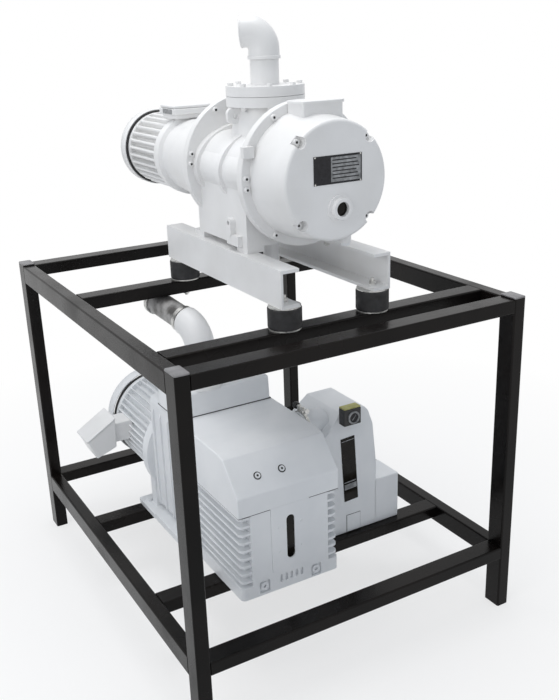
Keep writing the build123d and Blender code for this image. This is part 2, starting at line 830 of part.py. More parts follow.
write(lantern.part, "lantern")

with BuildPart() as shaft_coupling:
    # a hub on each shaft, with the cushion between them
    for front_y, bore in (
        (coupling_y - hub_length, shaft_radius), (coupling_y + spider_length, motor_shaft_radius)
    ):
        extrude(
            disc_section(across(front_y + hub_length), drive_x, pump_z, hub_radius, bore), amount=hub_length
        )
    extrude(disc_section(across(coupling_y + spider_length), drive_x, pump_z, hub_radius - 3), amount=spider_length)
write(shaft_coupling.part, "shaft_coupling")

with BuildPart() as motor_housing:
    core_rear_y = motor_rear_y - cowl_length
    revolve(
        turned_section(drive_x, pump_z, [
            (motor_front_y, motor_shaft_radius + 1), (motor_front_y, motor_radius + 3),
            (motor_front_y + motor_end_length, motor_radius + 3), (motor_front_y + motor_end_length, motor_core_radius),
            (core_rear_y - motor_end_length, motor_core_radius), (core_rear_y - motor_end_length, motor_radius - 4),
            (core_rear_y, motor_radius - 4), (core_rear_y, motor_shaft_radius + 1),
            (core_rear_y - motor_end_length, motor_shaft_radius + 1), (core_rear_y - motor_end_length, motor_bore),
            (motor_front_y + motor_end_length, motor_bore), (motor_front_y + motor_end_length, motor_shaft_radius + 1),
        ]),
        axis=along(drive_x, pump_z),
    )
    # thick cooling fins along the barrel, left out under the terminal box
    with BuildSketch(across(core_rear_y - motor_end_length)):
        with Locations((drive_x, pump_z)):
            with PolarLocations(0, motor_fins, start_angle=7):
                with Locations(((motor_core_radius + motor_radius) / 2 - 2, 0)):
                    Rectangle(motor_radius - motor_core_radius + 4, motor_fin)
    extrude(amount=core_rear_y - motor_front_y - 2 * motor_end_length)
write(motor_housing.part, "motor_housing")

terminal_length = 116.0
terminal_width = 118.0
terminal_top_z = pump_z + 151.0
terminal_y = motor_front_y + 62.0

with BuildPart() as terminal_box:
    with BuildSketch(Plane.XY.offset(pump_z + motor_radius + 3)):
        with Locations((drive_x, terminal_y)):
            RectangleRounded(terminal_width - 14, terminal_length - 10, 6)
    extrude(amount=6)
    with BuildSketch(Plane.XY.offset(pump_z + motor_radius + 9)):
        with Locations((drive_x, terminal_y)):
            RectangleRounded(terminal_width, terminal_length, 8)
    extrude(amount=terminal_top_z - pump_z - motor_radius - 9)
    fillet(terminal_box.faces().sort_by(Axis.Z)[-1].edges(), 5.0)
    # cable gland on the left, closed by a blind cap
    with BuildSketch(Plane.YZ.offset(drive_x - terminal_width / 2 + 2)):
        with Locations((terminal_y - 24, terminal_top_z - 17)):
            RegularPolygon(11, 6, major_radius=False)
    extrude(amount=-12)
write(terminal_box.part, "terminal_box")

with BuildPart() as motor_shaft:
    shaft_end_y = motor_rear_y - 12
    extrude(
        disc_section(across(shaft_end_y), drive_x, pump_z, motor_shaft_radius),
        amount=shaft_end_y - coupling_y - spider_length,
    )
    extrude(
        disc_section(across(core_rear_y - motor_end_length - 12), drive_x, pump_z, motor_bore - air_gap),
        amount=core_rear_y - motor_front_y - 2 * motor_end_length - 24,
    )
write(motor_shaft.part, "motor_shaft")

fan_blades = 8
with BuildPart() as motor_fan:
    extrude(disc_section(across(motor_rear_y - 14), drive_x, pump_z, 30, motor_shaft_radius), amount=36)
    extrude(disc_section(across(motor_rear_y - 14), drive_x, pump_z, cowl_radius - 16, motor_shaft_radius), amount=3)
    with BuildSketch(across(motor_rear_y - 14)):
        with Locations((drive_x, pump_z)):
            with PolarLocations(0, fan_blades):
                with Locations(((cowl_radius - 16 + 28) / 2, 0)):
                    Rectangle(cowl_radius - 16 - 28, 3)
    extrude(amount=34)
write(motor_fan.part, "motor_fan")

with BuildPart() as motor_cowl:
    front_y = motor_rear_y - cowl_length - 6
    revolve(
        turned_section(drive_x, pump_z, [
            (front_y, cowl_radius), (motor_rear_y - 14, cowl_radius), (motor_rear_y - 4, cowl_radius - 6),
            (motor_rear_y, cowl_radius - 20), (motor_rear_y, 0), (motor_rear_y - cowl_wall, 0),
            (motor_rear_y - cowl_wall, cowl_radius - 21), (motor_rear_y - 6, cowl_radius - 8),
            (motor_rear_y - 15, cowl_radius - cowl_wall), (front_y, cowl_radius - cowl_wall),
        ]),
        axis=along(drive_x, pump_z),
    )
    # air slots in the end, in rings
    with BuildSketch(across(motor_rear_y + 1)):
        with Locations((drive_x, pump_z)):
            for ring, slots in ((34, 10), (58, 16), (82, 22)):
                with PolarLocations(ring, slots):
                    SlotOverall(18, 6)
    extrude(amount=cowl_wall + 4, mode=Mode.SUBTRACT)
    # four ribs inside hold the cowl on the rear end shield
    with BuildSketch(across(core_rear_y)):
        with Locations((drive_x, pump_z)):
            with PolarLocations(0, 4, start_angle=45):
                with Locations(((motor_radius - 3.7 + cowl_radius - 1) / 2, 0)):
                    Rectangle(cowl_radius - 1 - motor_radius + 3.7, 12)
    extrude(amount=6)
write(motor_cowl.part, "motor_cowl")

# ---------------------------------------------------------------- inlet on top

upper_flange_z = lower_flange_top_z + gasket_gap
stub_top_z = flange_top_z + inlet_stub_length

with BuildPart() as inlet_gasket:
    extrude(disc_section(Plane.XY.offset(lower_flange_top_z), pump_x, port_y, 76, port_radius), amount=gasket_gap)
write(inlet_gasket.part, "inlet_gasket")

with BuildPart() as inlet_flange:
    extrude(
        disc_section(Plane.XY.offset(upper_flange_z), pump_x, port_y, flange_radius), amount=flange_thickness
    )
    extrude(
        disc_section(Plane.XY.offset(flange_top_z), pump_x, port_y, inlet_stub_radius), amount=inlet_stub_length
    )
    with Locations((pump_x, port_y, stub_top_z)):
        Hole(inlet_stub_radius - inlet_wall, depth=stub_top_z - upper_flange_z)
    with Locations((pump_x, port_y, flange_top_z)):
        with PolarLocations(flange_bolt_circle, flange_bolts, start_angle=22.5):
            Hole(5.5, depth=flange_thickness)
write(inlet_flange.part, "inlet_flange")

with BuildPart() as inlet_flange_bolts:
    for level, out in ((flange_top_z, 1), (flange_bottom_z, -1)):
        with BuildSketch(Plane.XY.offset(level)):
            with Locations((pump_x, port_y)):
                with PolarLocations(flange_bolt_circle, flange_bolts, start_angle=22.5):
                    RegularPolygon(7, 6, major_radius=False)
        extrude(amount=out * 7)
    with BuildSketch(Plane.XY.offset(flange_bottom_z - 10)):
        with Locations((pump_x, port_y)):
            with PolarLocations(flange_bolt_circle, flange_bolts, start_angle=22.5):
                Circle(5.0)
    extrude(amount=flange_top_z - flange_bottom_z + 10)
write(inlet_flange_bolts.part, "inlet_flange_bolts")

with BuildPart() as inlet_collar:
    collar_z = stub_top_z - inlet_collar_height / 2
    extrude(
        disc_section(Plane.XY.offset(collar_z), pump_x, port_y, inlet_collar_radius, inlet_radius + 0.2),
        amount=inlet_collar_height,
    )
    fillet(inlet_collar.edges().filter_by(GeomType.CIRCLE).filter_by(lambda e: e.radius > inlet_radius + 1), 1.5)
write(inlet_collar.part, "inlet_collar")

bend_z = stub_top_z + 21.0
with BuildPart() as inlet_elbow:
    for radius, mode in ((inlet_radius, Mode.ADD), (inlet_radius - inlet_wall, Mode.SUBTRACT)):
        with BuildSketch(Plane.XY.offset(bend_z)):
            with Locations((pump_x, port_y)):
                Circle(radius)
        revolve(
            axis=Axis((pump_x - inlet_bend, port_y, bend_z), (0, -1, 0)), revolution_arc=inlet_turn, mode=mode
        )
    extrude(disc_section(Plane.XY.offset(stub_top_z), pump_x, port_y, inlet_radius), amount=bend_z - stub_top_z)
    # socket over the end of the stub
    extrude(
        disc_section(Plane.XY.offset(stub_top_z - 16), pump_x, port_y, inlet_radius, inlet_stub_radius + 0.1),
        amount=16,
    )
    with Locations((pump_x, port_y, bend_z)):
        Hole(inlet_radius - inlet_wall, depth=bend_z - stub_top_z)
write(inlet_elbow.part, "inlet_elbow")

# ---------------------------------------------------------------- suction line to the backing pump

line_top_z = bar_top_z + line_clearance + line_radius
swing = radians(hose_swing)
rise = radians(hose_rise)
hose_way = Vector(-sin(swing) * cos(rise), cos(swing) * cos(rise), sin(rise))
port_block_z = hood_top_z + 2.0
port_block_top_z = port_block_z + port_block_height
bend_start = Vector(elbow_x, elbow_y, port_block_top_z + elbow_rise)
level_way = Vector(-sin(swing), cos(swing), 0)
elbow_turn = radians(90.0 - hose_rise)
elbow_mouth = (
    bend_start + level_way * (elbow_bend * (1 - cos(elbow_turn))) + Vector(0, 0, elbow_bend * sin(elbow_turn))
)
hose_start = elbow_mouth + hose_way * 3.0
hose_end = hose_start + hose_way * hose_length
line_turn = Vector(hose_end.X - 4.0, line_rear_y, line_low_z)

with BuildPart() as suction_elbow:
    for radius, mode in ((elbow_radius, Mode.ADD), (elbow_radius - elbow_wall, Mode.SUBTRACT)):
        with BuildSketch(Plane(origin=bend_start, x_dir=level_way, z_dir=(0, 0, 1))):
            Circle(radius)
        revolve(
            axis=Axis(bend_start + level_way * elbow_bend, level_way.cross(Vector(0, 0, -1))),
            revolution_arc=degrees(elbow_turn), mode=mode,
        )
    extrude(
        disc_section(Plane.XY.offset(port_block_top_z), elbow_x, elbow_y, elbow_radius, elbow_radius - elbow_wall),
        amount=elbow_rise,
    )
    # foot flange on the port block
    extrude(
        disc_section(Plane.XY.offset(port_block_top_z), elbow_x, elbow_y, elbow_radius + 16, elbow_radius - elbow_wall),
        amount=10,
    )
    # reduced spigot that the hose is pushed on
    with BuildSketch(Plane(origin=elbow_mouth, z_dir=hose_way)):
        Circle(elbow_radius)
        Circle(hose_radius - hose_wall - 4, mode=Mode.SUBTRACT)
    extrude(amount=3)
    with BuildSketch(Plane(origin=elbow_mouth, z_dir=hose_way)):
        Circle(hose_radius - hose_wall - 0.2)
        Circle(hose_radius - hose_wall - 4, mode=Mode.SUBTRACT)
    extrude(amount=3 + hose_overlap)
write(suction_elbow.part, "suction_elbow")

with BuildPart() as suction_hose:
    with BuildSketch(Plane(origin=hose_start, z_dir=hose_way)):
        Circle(hose_radius)
        Circle(hose_radius - hose_wall, mode=Mode.SUBTRACT)
    extrude(amount=hose_length)
write(suction_hose.part, "suction_hose")

with BuildPart() as hose_clamps:
    for start in (hose_start + hose_way * 8, hose_end - hose_way * (8 + clamp_width)):
        with BuildSketch(Plane(origin=start, z_dir=hose_way)):
            Circle(hose_radius + clamp_thickness)
            Circle(hose_radius + 0.2, mode=Mode.SUBTRACT)
        extrude(amount=clamp_width)
write(hose_clamps.part, "hose_clamps")

with BuildPart() as vacuum_line:
    with BuildLine() as route:
        FilletPolyline(
            (pump_x, port_y, outlet_z), (pump_x, port_y, line_top_z), (pump_x, line_rear_y, line_top_z),
            (pump_x, line_rear_y, line_low_z), line_turn, line_turn - hose_way * (line_turn.Y - hose_end.Y),
            radius=[line_bend, line_bend, line_bend, line_bend - 8],
        )
    with BuildSketch(Plane.XY.offset(outlet_z)):
        with Locations((pump_x, port_y)):
            Circle(line_radius)
            Circle(line_radius - line_wall, mode=Mode.SUBTRACT)
    sweep(path=route.line)
    with BuildSketch(Plane.XY.offset(outlet_z)):
        with Locations((pump_x, port_y)):
            Circle(line_radius + 37)
            Circle(line_radius - line_wall, mode=Mode.SUBTRACT)
            with PolarLocations(line_radius + 26, 4, start_angle=45):
                Circle(4.5, mode=Mode.SUBTRACT)
    extrude(amount=-outlet_flange)
write(vacuum_line.part, "vacuum_line")

# ---------------------------------------------------------------- backing pump: oil case and hood

left_x = backing_x - case_width / 2
fin_pitch = (case_top_z - case_bottom_z - case_base) / case_fins
core_front_y = case_front_y + case_fin_depth
middle_y = (case_front_y + case_rear_y) / 2
face_width = case_width - 70.0
plug_spots = ((backing_x + 83, case_bottom_z + 22), (backing_x - 88, case_bottom_z + 26))

with BuildPart() as oil_case:
    with BuildSketch(Plane.XY.offset(case_bottom_z)):
        with Locations((backing_x, middle_y)):
            RectangleRounded(case_width, case_depth, 14)
    extrude(amount=case_base)
    with BuildSketch(Plane.XY.offset(case_bottom_z)):
        with Locations((backing_x, middle_y + case_fin_depth / 2)):
            Rectangle(case_width - 2 * case_fin_depth, case_depth - case_fin_depth)
    extrude(amount=case_top_z - case_bottom_z)
    with BuildSketch(Plane.XY.offset(case_bottom_z)):
        with Locations((backing_x, case_front_y + case_fin_depth / 2 + 2)):
            Rectangle(face_width, case_fin_depth + 4)
    extrude(amount=case_top_z - case_bottom_z)
    # cooling fins round the sides and the front corners
    fin_levels = [case_bottom_z + case_base + fin_pitch * (i + 0.5) for i in range(case_fins)]
    with BuildSketch(*[Plane.XY.offset(z) for z in fin_levels]):
        with Locations((backing_x, middle_y)):
            RectangleRounded(case_width - 4, case_depth - 4, 14)
    extrude(amount=case_fin)
    # oil space, open at the top under the hood
    with BuildSketch(Plane.XY.offset(case_bottom_z + case_wall)):
        with Locations((backing_x, middle_y + case_fin_depth / 2)):
            Rectangle(
                case_width - 2 * case_fin_depth - 2 * case_wall, case_depth - case_fin_depth - 2 * case_wall
            )
    extrude(amount=case_top_z - case_bottom_z, mode=Mode.SUBTRACT)
    # seat of the front panel, its window and the openings for the plugs
    with BuildSketch(across(case_front_y + panel_thickness - 1)):
        with Locations((backing_x, (case_bottom_z + 62 + case_top_z) / 2)):
            Rectangle(panel_width, case_top_z - case_bottom_z - 62)
    extrude(amount=panel_thickness, mode=Mode.SUBTRACT)
    with BuildSketch(across(core_front_y + case_wall + 2)):
        with Locations((backing_x, window_z)):
            SlotOverall(window_height - 10, window_width - 8, rotation=90)
    extrude(amount=case_fin_depth + case_wall, mode=Mode.SUBTRACT)
    with BuildSketch(across(case_front_y + 8)):
        with Locations(*plug_spots):
            RectangleRounded(34, 38, 3)
        # five slots below the panel
        with Locations((backing_x, case_bottom_z + 34)):
            with GridLocations(17, 1, 5, 1):
                SlotOverall(24, 9, rotation=90)
    extrude(amount=10, mode=Mode.SUBTRACT)
    with BuildSketch(across(core_front_y + case_wall + 2)):
        with Locations(*plug_spots):
            Circle(8.1)
    extrude(amount=case_fin_depth + case_wall, mode=Mode.SUBTRACT)
    # two feet on the crossbar
    with BuildSketch(Plane.XY.offset(lower_bar_top)):
        for side in (-1, 1):
            with Locations((backing_x + side * (case_width / 2 - 24), lower_second_y)):
                Rectangle(44, tube_broad - 4)
    extrude(amount=case_bottom_z - lower_bar_top)
write(oil_case.part, "oil_case")

with BuildPart() as front_panel:
    with BuildSketch(across(case_front_y + panel_thickness - 1)):
        with Locations((backing_x, (case_bottom_z + 62 + case_top_z) / 2)):
            Rectangle(panel_width - 0.6, case_top_z - case_bottom_z - 62.6)
        with Locations((backing_x, window_z)):
            SlotOverall(window_height, window_width, rotation=90, mode=Mode.SUBTRACT)
    extrude(amount=panel_thickness + 1)
write(front_panel.part, "front_panel")

with BuildPart() as oil_window:
    with BuildSketch(across(case_front_y + panel_thickness - 1)):
        with Locations((backing_x, window_z)):
            SlotOverall(window_height - 0.4, window_width - 0.4, rotation=90)
    extrude(amount=panel_thickness - 2)
write(oil_window.part, "oil_window")

hood_outline = [
    (case_front_y - 2, case_top_z), (case_front_y - 2, hood_band_z), (hood_ridge_y, hood_ridge_z),
    (hood_ridge_y + 30, hood_top_z), (case_rear_y, hood_top_z), (case_rear_y, case_top_z),
]
slope = atan2(hood_ridge_z - hood_band_z, hood_ridge_y - case_front_y + 2)
inset = hood_wall / tan((pi / 2 + slope) / 2)
with BuildPart() as hood:
    extrude(half_section(backing_x, hood_outline), amount=case_width / 2 + 2, both=True)
    front_edges = hood.edges().filter_by(Axis.X).filter_by(lambda e: e.center().Z > case_top_z + 1)
    fillet(front_edges.filter_by(lambda e: e.center().Y < case_rear_y - 1), 10.0)
    fillet(hood.faces().sort_by(Axis.X)[0].edges().filter_by(lambda e: e.center().Z > case_top_z + 2), 4.0)
    fillet(hood.faces().sort_by(Axis.X)[-1].edges().filter_by(lambda e: e.center().Z > case_top_z + 2), 4.0)
    inner = [
        (case_front_y - 2 + hood_wall + 4, case_top_z), (case_front_y - 2 + hood_wall + 4, hood_band_z - 4),
        (hood_ridge_y + 4, hood_ridge_z - hood_wall - 4), (hood_ridge_y + 34, hood_top_z - hood_wall - 2),
        (case_rear_y - hood_wall, hood_top_z - hood_wall - 2), (case_rear_y - hood_wall, case_top_z),
    ]
    extrude(
        half_section(backing_x, inner), amount=case_width / 2 + 2 - hood_wall, both=True, mode=Mode.SUBTRACT
    )
    # exhaust opening on the right
    with Locations(Plane(origin=(backing_x + case_width / 2 + 2, exhaust_y, exhaust_z), z_dir=(1, 0, 0))):
        Hole(exhaust_radius - 6, depth=case_fin_depth)
write(hood.part, "hood")

hood_screw_y = case_front_y + 32.0
hood_screw_z = hood_band_z + (hood_screw_y - case_front_y + 2) * tan(slope)
panel_screws = [(backing_x + dx, window_z + dz) for dx in (-36, 36) for dz in (-38, 38)]
with BuildPart() as case_screws:
    for x in (backing_x - 80, backing_x - 3):
        seat = Plane(origin=(x, hood_screw_y, hood_screw_z), x_dir=(1, 0, 0), z_dir=(0, -sin(slope), cos(slope)))
        with BuildSketch(seat):
            Circle(8)
            RegularPolygon(3.5, 6, major_radius=False, mode=Mode.SUBTRACT)
        extrude(amount=3)
    with BuildSketch(across(case_front_y - 2)):
        with Locations(*panel_screws):
            Circle(4)
    extrude(amount=2)
    # bolts of the bell's foot, with their nuts under the crossbar
    bolt_spots = [(backing_x + side * bell_bolt_x, lower_third_y) for side in (-1, 1)]
    with BuildSketch(Plane.XY.offset(lower_bar_top + bell_foot)):
        with Locations(*bolt_spots):
            RegularPolygon(nut_width / 2, 6, major_radius=False)
    extrude(amount=nut_height - 2)
    with BuildSketch(Plane.XY.offset(lower_bar_top + bell_foot)):
        with Locations(*bolt_spots):
            Circle(stud_radius)
    extrude(amount=-(bell_foot + tube_narrow + nut_height + 4))
    with BuildSketch(Plane.XY.offset(lower_bar_top - tube_narrow - nut_height)):
        with Locations(*bolt_spots):
            RegularPolygon(nut_width / 2, 6, major_radius=False)
    extrude(amount=nut_height)
write(case_screws.part, "case_screws")

# ---------------------------------------------------------------- backing pump: pump module

chamber_z = backing_axis_z - rotor_offset
chamber_front_y = module_front_y + 30.0

with BuildPart() as pump_module:
    with BuildSketch(across(module_rear_y)):
        with Locations((backing_x, (module_bottom_z + hood_top_z) / 2)):
            RectangleRounded(module_width, hood_top_z - module_bottom_z, 24)
    extrude(amount=module_length)
    # stiffening ribs round the housing
    with BuildSketch(*[across(module_front_y + 50 + 56 * i) for i in range(4)]):
        with Locations((backing_x, (module_bottom_z + hood_top_z - 30) / 2)):
            RectangleRounded(module_width + 12, hood_top_z - 30 - module_bottom_z, 26)
    extrude(amount=8)
    extrude(
        disc_section(across(module_rear_y), backing_x, chamber_z, chamber_radius),
        amount=module_rear_y - chamber_front_y, mode=Mode.SUBTRACT,
    )
    # blind bearing bore for the front journal
    extrude(
        disc_section(across(chamber_front_y + 1), backing_x, backing_axis_z, backing_shaft_radius + shaft_clearance),
        amount=21, mode=Mode.SUBTRACT,
    )
    with Locations((elbow_x, elbow_y, hood_top_z)):
        Hole(elbow_radius - elbow_wall, depth=hood_top_z - chamber_z - chamber_radius + 30)
write(pump_module.part, "pump_module")

with BuildPart() as port_block:
    with BuildSketch(Plane.XY.offset(port_block_z - 2)):
        with Locations((backing_x, module_front_y + port_block_depth / 2 - 6)):
            RectangleRounded(case_width - 12, port_block_depth - 6, 8)
    extrude(amount=2)
    with BuildSketch(Plane.XY.offset(port_block_z)):
        with Locations((backing_x, module_front_y + port_block_depth / 2 - 8)):
            RectangleRounded(case_width - 6, port_block_depth, 10)
    extrude(amount=port_block_height, taper=2)
    fillet(port_block.faces().sort_by(Axis.Z)[-1].edges(), 8.0)
    with Locations((elbow_x, elbow_y, port_block_top_z)):
        Hole(elbow_radius - elbow_wall, depth=port_block_height + 2)
write(port_block.part, "port_block")

vane_depth = rotor_radius - backing_shaft_radius - 6
with BuildPart() as vane_rotor:
    extrude(
        disc_section(across(module_rear_y - 1), backing_x, backing_axis_z, rotor_radius),
        amount=module_rear_y - 1 - chamber_front_y - 1,
    )
    with BuildSketch(across(module_rear_y - 1)):
        with Locations((backing_x, backing_axis_z)):
            with PolarLocations(0, 3, start_angle=90):
                with Locations((rotor_radius - vane_depth / 2 + 2, 0)):
                    Rectangle(vane_depth + 4, vane_thickness + 0.2)
    extrude(amount=module_rear_y - chamber_front_y, mode=Mode.SUBTRACT)
    extrude(
        disc_section(across(bell_rear_y - 18), backing_x, backing_axis_z, backing_shaft_radius),
        amount=bell_rear_y - 18 - chamber_front_y + 17,
    )
write(vane_rotor.part, "vane_rotor")

with BuildPart() as rotor_vanes:
    with BuildSketch(across(module_rear_y - 1.5)):
        with Locations((backing_x, backing_axis_z)):
            with PolarLocations(0, 3, start_angle=90):
                with Locations((rotor_radius - vane_depth / 2 - 0.3, 0)):
                    Rectangle(vane_depth - 0.6, vane_thickness)
    extrude(amount=module_rear_y - chamber_front_y - 3)
write(rotor_vanes.part, "rotor_vanes")

with BuildPart() as motor_bell:
    extrude(disc_section(across(bell_rear_y), backing_x, backing_axis_z, bell_radius), amount=bell_length)
    with BuildSketch(across(bell_rear_y)):
        with Locations((backing_x, (lower_bar_top + backing_axis_z) / 2)):
            Rectangle(module_width + 10, backing_axis_z - lower_bar_top)
    extrude(amount=bell_length)
    with BuildSketch(Plane.XY.offset(lower_bar_top)):
        with Locations((backing_x, bell_rear_y + 50 - bell_foot_depth / 2)):
            RectangleRounded(bell_foot_width, bell_foot_depth, 8)
    extrude(amount=bell_foot)
    extrude(
        disc_section(across(bell_rear_y), backing_x, backing_axis_z, 60), amount=bell_length - 12, mode=Mode.SUBTRACT
    )
    extrude(
        disc_section(across(bell_rear_y), backing_x, backing_axis_z, backing_shaft_radius + 0.5),
        amount=bell_length, mode=Mode.SUBTRACT,
    )
    with Locations(*[(x, y, lower_bar_top + bell_foot) for x, y in bolt_spots]):
        Hole(stud_radius + stud_clearance, depth=bell_foot)
write(motor_bell.part, "motor_bell")

# ---------------------------------------------------------------- backing pump: motor

barrel_rear_y = backing_motor_rear_y - backing_cowl_length
shield = 18.0

with BuildPart() as backing_motor:
    revolve(
        turned_section(backing_x, backing_axis_z, [
            (bell_rear_y, backing_shaft_radius + 1), (bell_rear_y, backing_motor_radius),
            (bell_rear_y + shield, backing_motor_radius), (bell_rear_y + shield, backing_core_radius),
            (barrel_rear_y - shield, backing_core_radius), (barrel_rear_y - shield, backing_motor_radius - 4),
            (barrel_rear_y, backing_motor_radius - 4), (barrel_rear_y, backing_shaft_radius + 1),
            (barrel_rear_y - shield, backing_shaft_radius + 1), (barrel_rear_y - shield, backing_bore),
            (bell_rear_y + shield, backing_bore), (bell_rear_y + shield, backing_shaft_radius + 1),
        ]),
        axis=along(backing_x, backing_axis_z),
    )
    with BuildSketch(across(barrel_rear_y - shield)):
        with Locations((backing_x, backing_axis_z)):
            with PolarLocations(0, backing_fins, start_angle=5):
                with Locations(((backing_core_radius + backing_motor_radius) / 2 - 3, 0)):
                    Rectangle(backing_motor_radius - backing_core_radius + 2, backing_fin)
    extrude(amount=barrel_rear_y - bell_rear_y - 2 * shield)
    # flat pad for the terminal box
    with BuildSketch(Plane.YZ.offset(backing_x - backing_core_radius + 12)):
        with Locations((bell_rear_y + 132, backing_axis_z)):
            RectangleRounded(92, 92, 8)
    extrude(amount=-(backing_motor_radius - backing_core_radius + 12))
write(backing_motor.part, "backing_motor")

with BuildPart() as backing_motor_shaft:
    extrude(
        disc_section(across(backing_motor_rear_y - 14), backing_x, backing_axis_z, backing_shaft_radius),
        amount=backing_motor_rear_y - 14 - bell_rear_y + 18,
    )
    extrude(
        disc_section(across(barrel_rear_y - shield - 12), backing_x, backing_axis_z, backing_bore - air_gap),
        amount=barrel_rear_y - bell_rear_y - 2 * shield - 24,
    )
write(backing_motor_shaft.part, "backing_motor_shaft")

with BuildPart() as backing_motor_fan:
    fan_radius = backing_cowl_radius - 22
    extrude(
        disc_section(across(backing_motor_rear_y - 16), backing_x, backing_axis_z, 34, backing_shaft_radius),
        amount=40,
    )
    extrude(
        disc_section(across(backing_motor_rear_y - 16), backing_x, backing_axis_z, fan_radius, backing_shaft_radius),
        amount=3,
    )
    with BuildSketch(across(backing_motor_rear_y - 16)):
        with Locations((backing_x, backing_axis_z)):
            with PolarLocations(0, fan_blades):
                with Locations(((fan_radius + 32) / 2, 0)):
                    Rectangle(fan_radius - 32, 3.5)
    extrude(amount=38)
write(backing_motor_fan.part, "backing_motor_fan")

with BuildPart() as backing_motor_cowl:
    front_y = backing_motor_rear_y - backing_cowl_length - 8
    end_y = backing_motor_rear_y
    outer = backing_cowl_radius
    revolve(
        turned_section(backing_x, backing_axis_z, [
            (front_y, outer), (end_y - 16, outer), (end_y - 5, outer - 7), (end_y, outer - 24), (end_y, 0),
            (end_y - cowl_wall, 0), (end_y - cowl_wall, outer - 25), (end_y - 7, outer - 9),
            (end_y - 17, outer - cowl_wall), (front_y, outer - cowl_wall),
        ]),
        axis=along(backing_x, backing_axis_z),
    )
    with BuildSketch(across(end_y + 1)):
        with Locations((backing_x, backing_axis_z)):
            for ring, slots in ((46, 12), (76, 18), (106, 26)):
                with PolarLocations(ring, slots):
                    SlotOverall(22, 7)
    extrude(amount=cowl_wall + 4, mode=Mode.SUBTRACT)
    with BuildSketch(across(barrel_rear_y)):
        with Locations((backing_x, backing_axis_z)):
            with PolarLocations(0, 4, start_angle=45):
                with Locations(((backing_motor_radius - 3.7 + outer - 1) / 2, 0)):
                    Rectangle(outer - 1 - backing_motor_radius + 3.7, 14)
    extrude(amount=6)
write(backing_motor_cowl.part, "backing_motor_cowl")

box_reach = 130.0
with BuildPart() as backing_terminal_box:
    to_left = Plane(origin=(backing_x, bell_rear_y + 132, backing_axis_z), x_dir=(0, 1, 0), z_dir=(-1, 0, 0))
    with BuildSketch(to_left.offset(backing_motor_radius)):
        RectangleRounded(92, 92, 8)
    extrude(amount=28)
    with BuildSketch(to_left.offset(backing_motor_radius + 28)):
        RectangleRounded(122, 126, 16)
    extrude(amount=box_reach - 28, taper=3)
    fillet(backing_terminal_box.faces().sort_by(Axis.X)[0].edges(), 8.0)
write(backing_terminal_box.part, "backing_terminal_box")

# ---------------------------------------------------------------- exhaust filter

filter_right_x = filter_left_x + filter_width
filter_window_x = filter_left_x + 100.0
filter_window_z = lower_bar_top + 222.0
filter_rear_y = filter_front_y + filter_depth
filter_shoulder_z = filter_top_z - filter_shoulder

with BuildPart() as filter_housing:
    with BuildSketch(across(filter_rear_y)) as front_shape:
        with BuildLine():
            Polyline(
                (filter_left_x, lower_bar_top), (filter_right_x, lower_bar_top), (filter_right_x, filter_shoulder_z),
                (filter_right_x - filter_shoulder, filter_top_z), (filter_left_x + 18, filter_top_z),
                (filter_left_x, filter_top_z - 24), close=True,
            )
        make_face()
        fillet(front_shape.vertices().filter_by(lambda v: v.Z > lower_bar_top + 1), 12)
    extrude(amount=filter_depth)
    top_front = filter_housing.edges().filter_by(Axis.X).group_by(Axis.Z)[-1].sort_by(Axis.Y)[0]
    chamfer(top_front, 34, 40)
    # lower box on the right, and cooling ribs above it
    with BuildSketch(Plane.XY.offset(lower_bar_top)):
        with Locations((filter_right_x + filter_box_width / 2 - 1, filter_front_y + filter_box_depth / 2)):
            Rectangle(filter_box_width + 2, filter_box_depth)
    extrude(amount=filter_box_height)
    with BuildSketch(*[Plane.XY.offset(lower_bar_top + filter_box_height + 22 + 26 * i) for i in range(5)]):
        with Locations((filter_right_x + 6, filter_rear_y - 70)):
            Rectangle(16, 110)
    extrude(amount=7)
    # filter space with its opening on the left, and the outlet on top
    with BuildSketch(Plane.XY.offset(lower_bar_top + filter_wall)):
        with Locations((filter_left_x + filter_width / 2, (filter_front_y + filter_rear_y) / 2)):
            Rectangle(filter_width - 2 * filter_wall - 12, filter_depth - 2 * filter_wall - 20)
    extrude(amount=filter_shoulder_z - lower_bar_top - filter_wall - 12, mode=Mode.SUBTRACT)
    with Locations(Plane(origin=(filter_left_x, exhaust_y, exhaust_z), z_dir=(-1, 0, 0))):
        Hole(exhaust_radius - 6, depth=40)
    with Locations(((filter_left_x + filter_right_x - 40) / 2, filter_rear_y - 60, filter_top_z)):
        Hole(20, depth=filter_shoulder + 20)
    # seat of the oil window, and the recess of the drain plug
    with BuildSketch(across(filter_front_y + 3)):
        with Locations((filter_window_x, filter_window_z)):
            Rectangle(52, 218)
    extrude(amount=4, mode=Mode.SUBTRACT)
    with BuildSketch(across(filter_front_y + 4)):
        with Locations((filter_left_x + 115, lower_bar_top + 33)):
            Rectangle(58, 62)
    extrude(amount=5, mode=Mode.SUBTRACT)
    extrude(
        disc_section(across(filter_front_y + 12.5), filter_left_x + 115, lower_bar_top + 33, 8.1), amount=12,
        mode=Mode.SUBTRACT,
    )
write(filter_housing.part, "filter_housing")

with BuildPart() as filter_element:
    element_z = lower_bar_top + filter_wall
    extrude(
        disc_section(
            Plane.XY.offset(element_z), filter_left_x + filter_width / 2, (filter_front_y + filter_rear_y) / 2,
            filter_element_radius, filter_element_radius - 22,
        ),
        amount=300,
    )
write(filter_element.part, "filter_element")

with BuildPart() as filter_window:
    with BuildSketch(across(filter_front_y + 3)):
        with Locations((filter_window_x, filter_window_z)):
            Rectangle(51.4, 217.4)
    extrude(amount=5)
    chamfer(filter_window.faces().sort_by(Axis.Y)[0].edges(), 1.5)
write(filter_window.part, "filter_window")

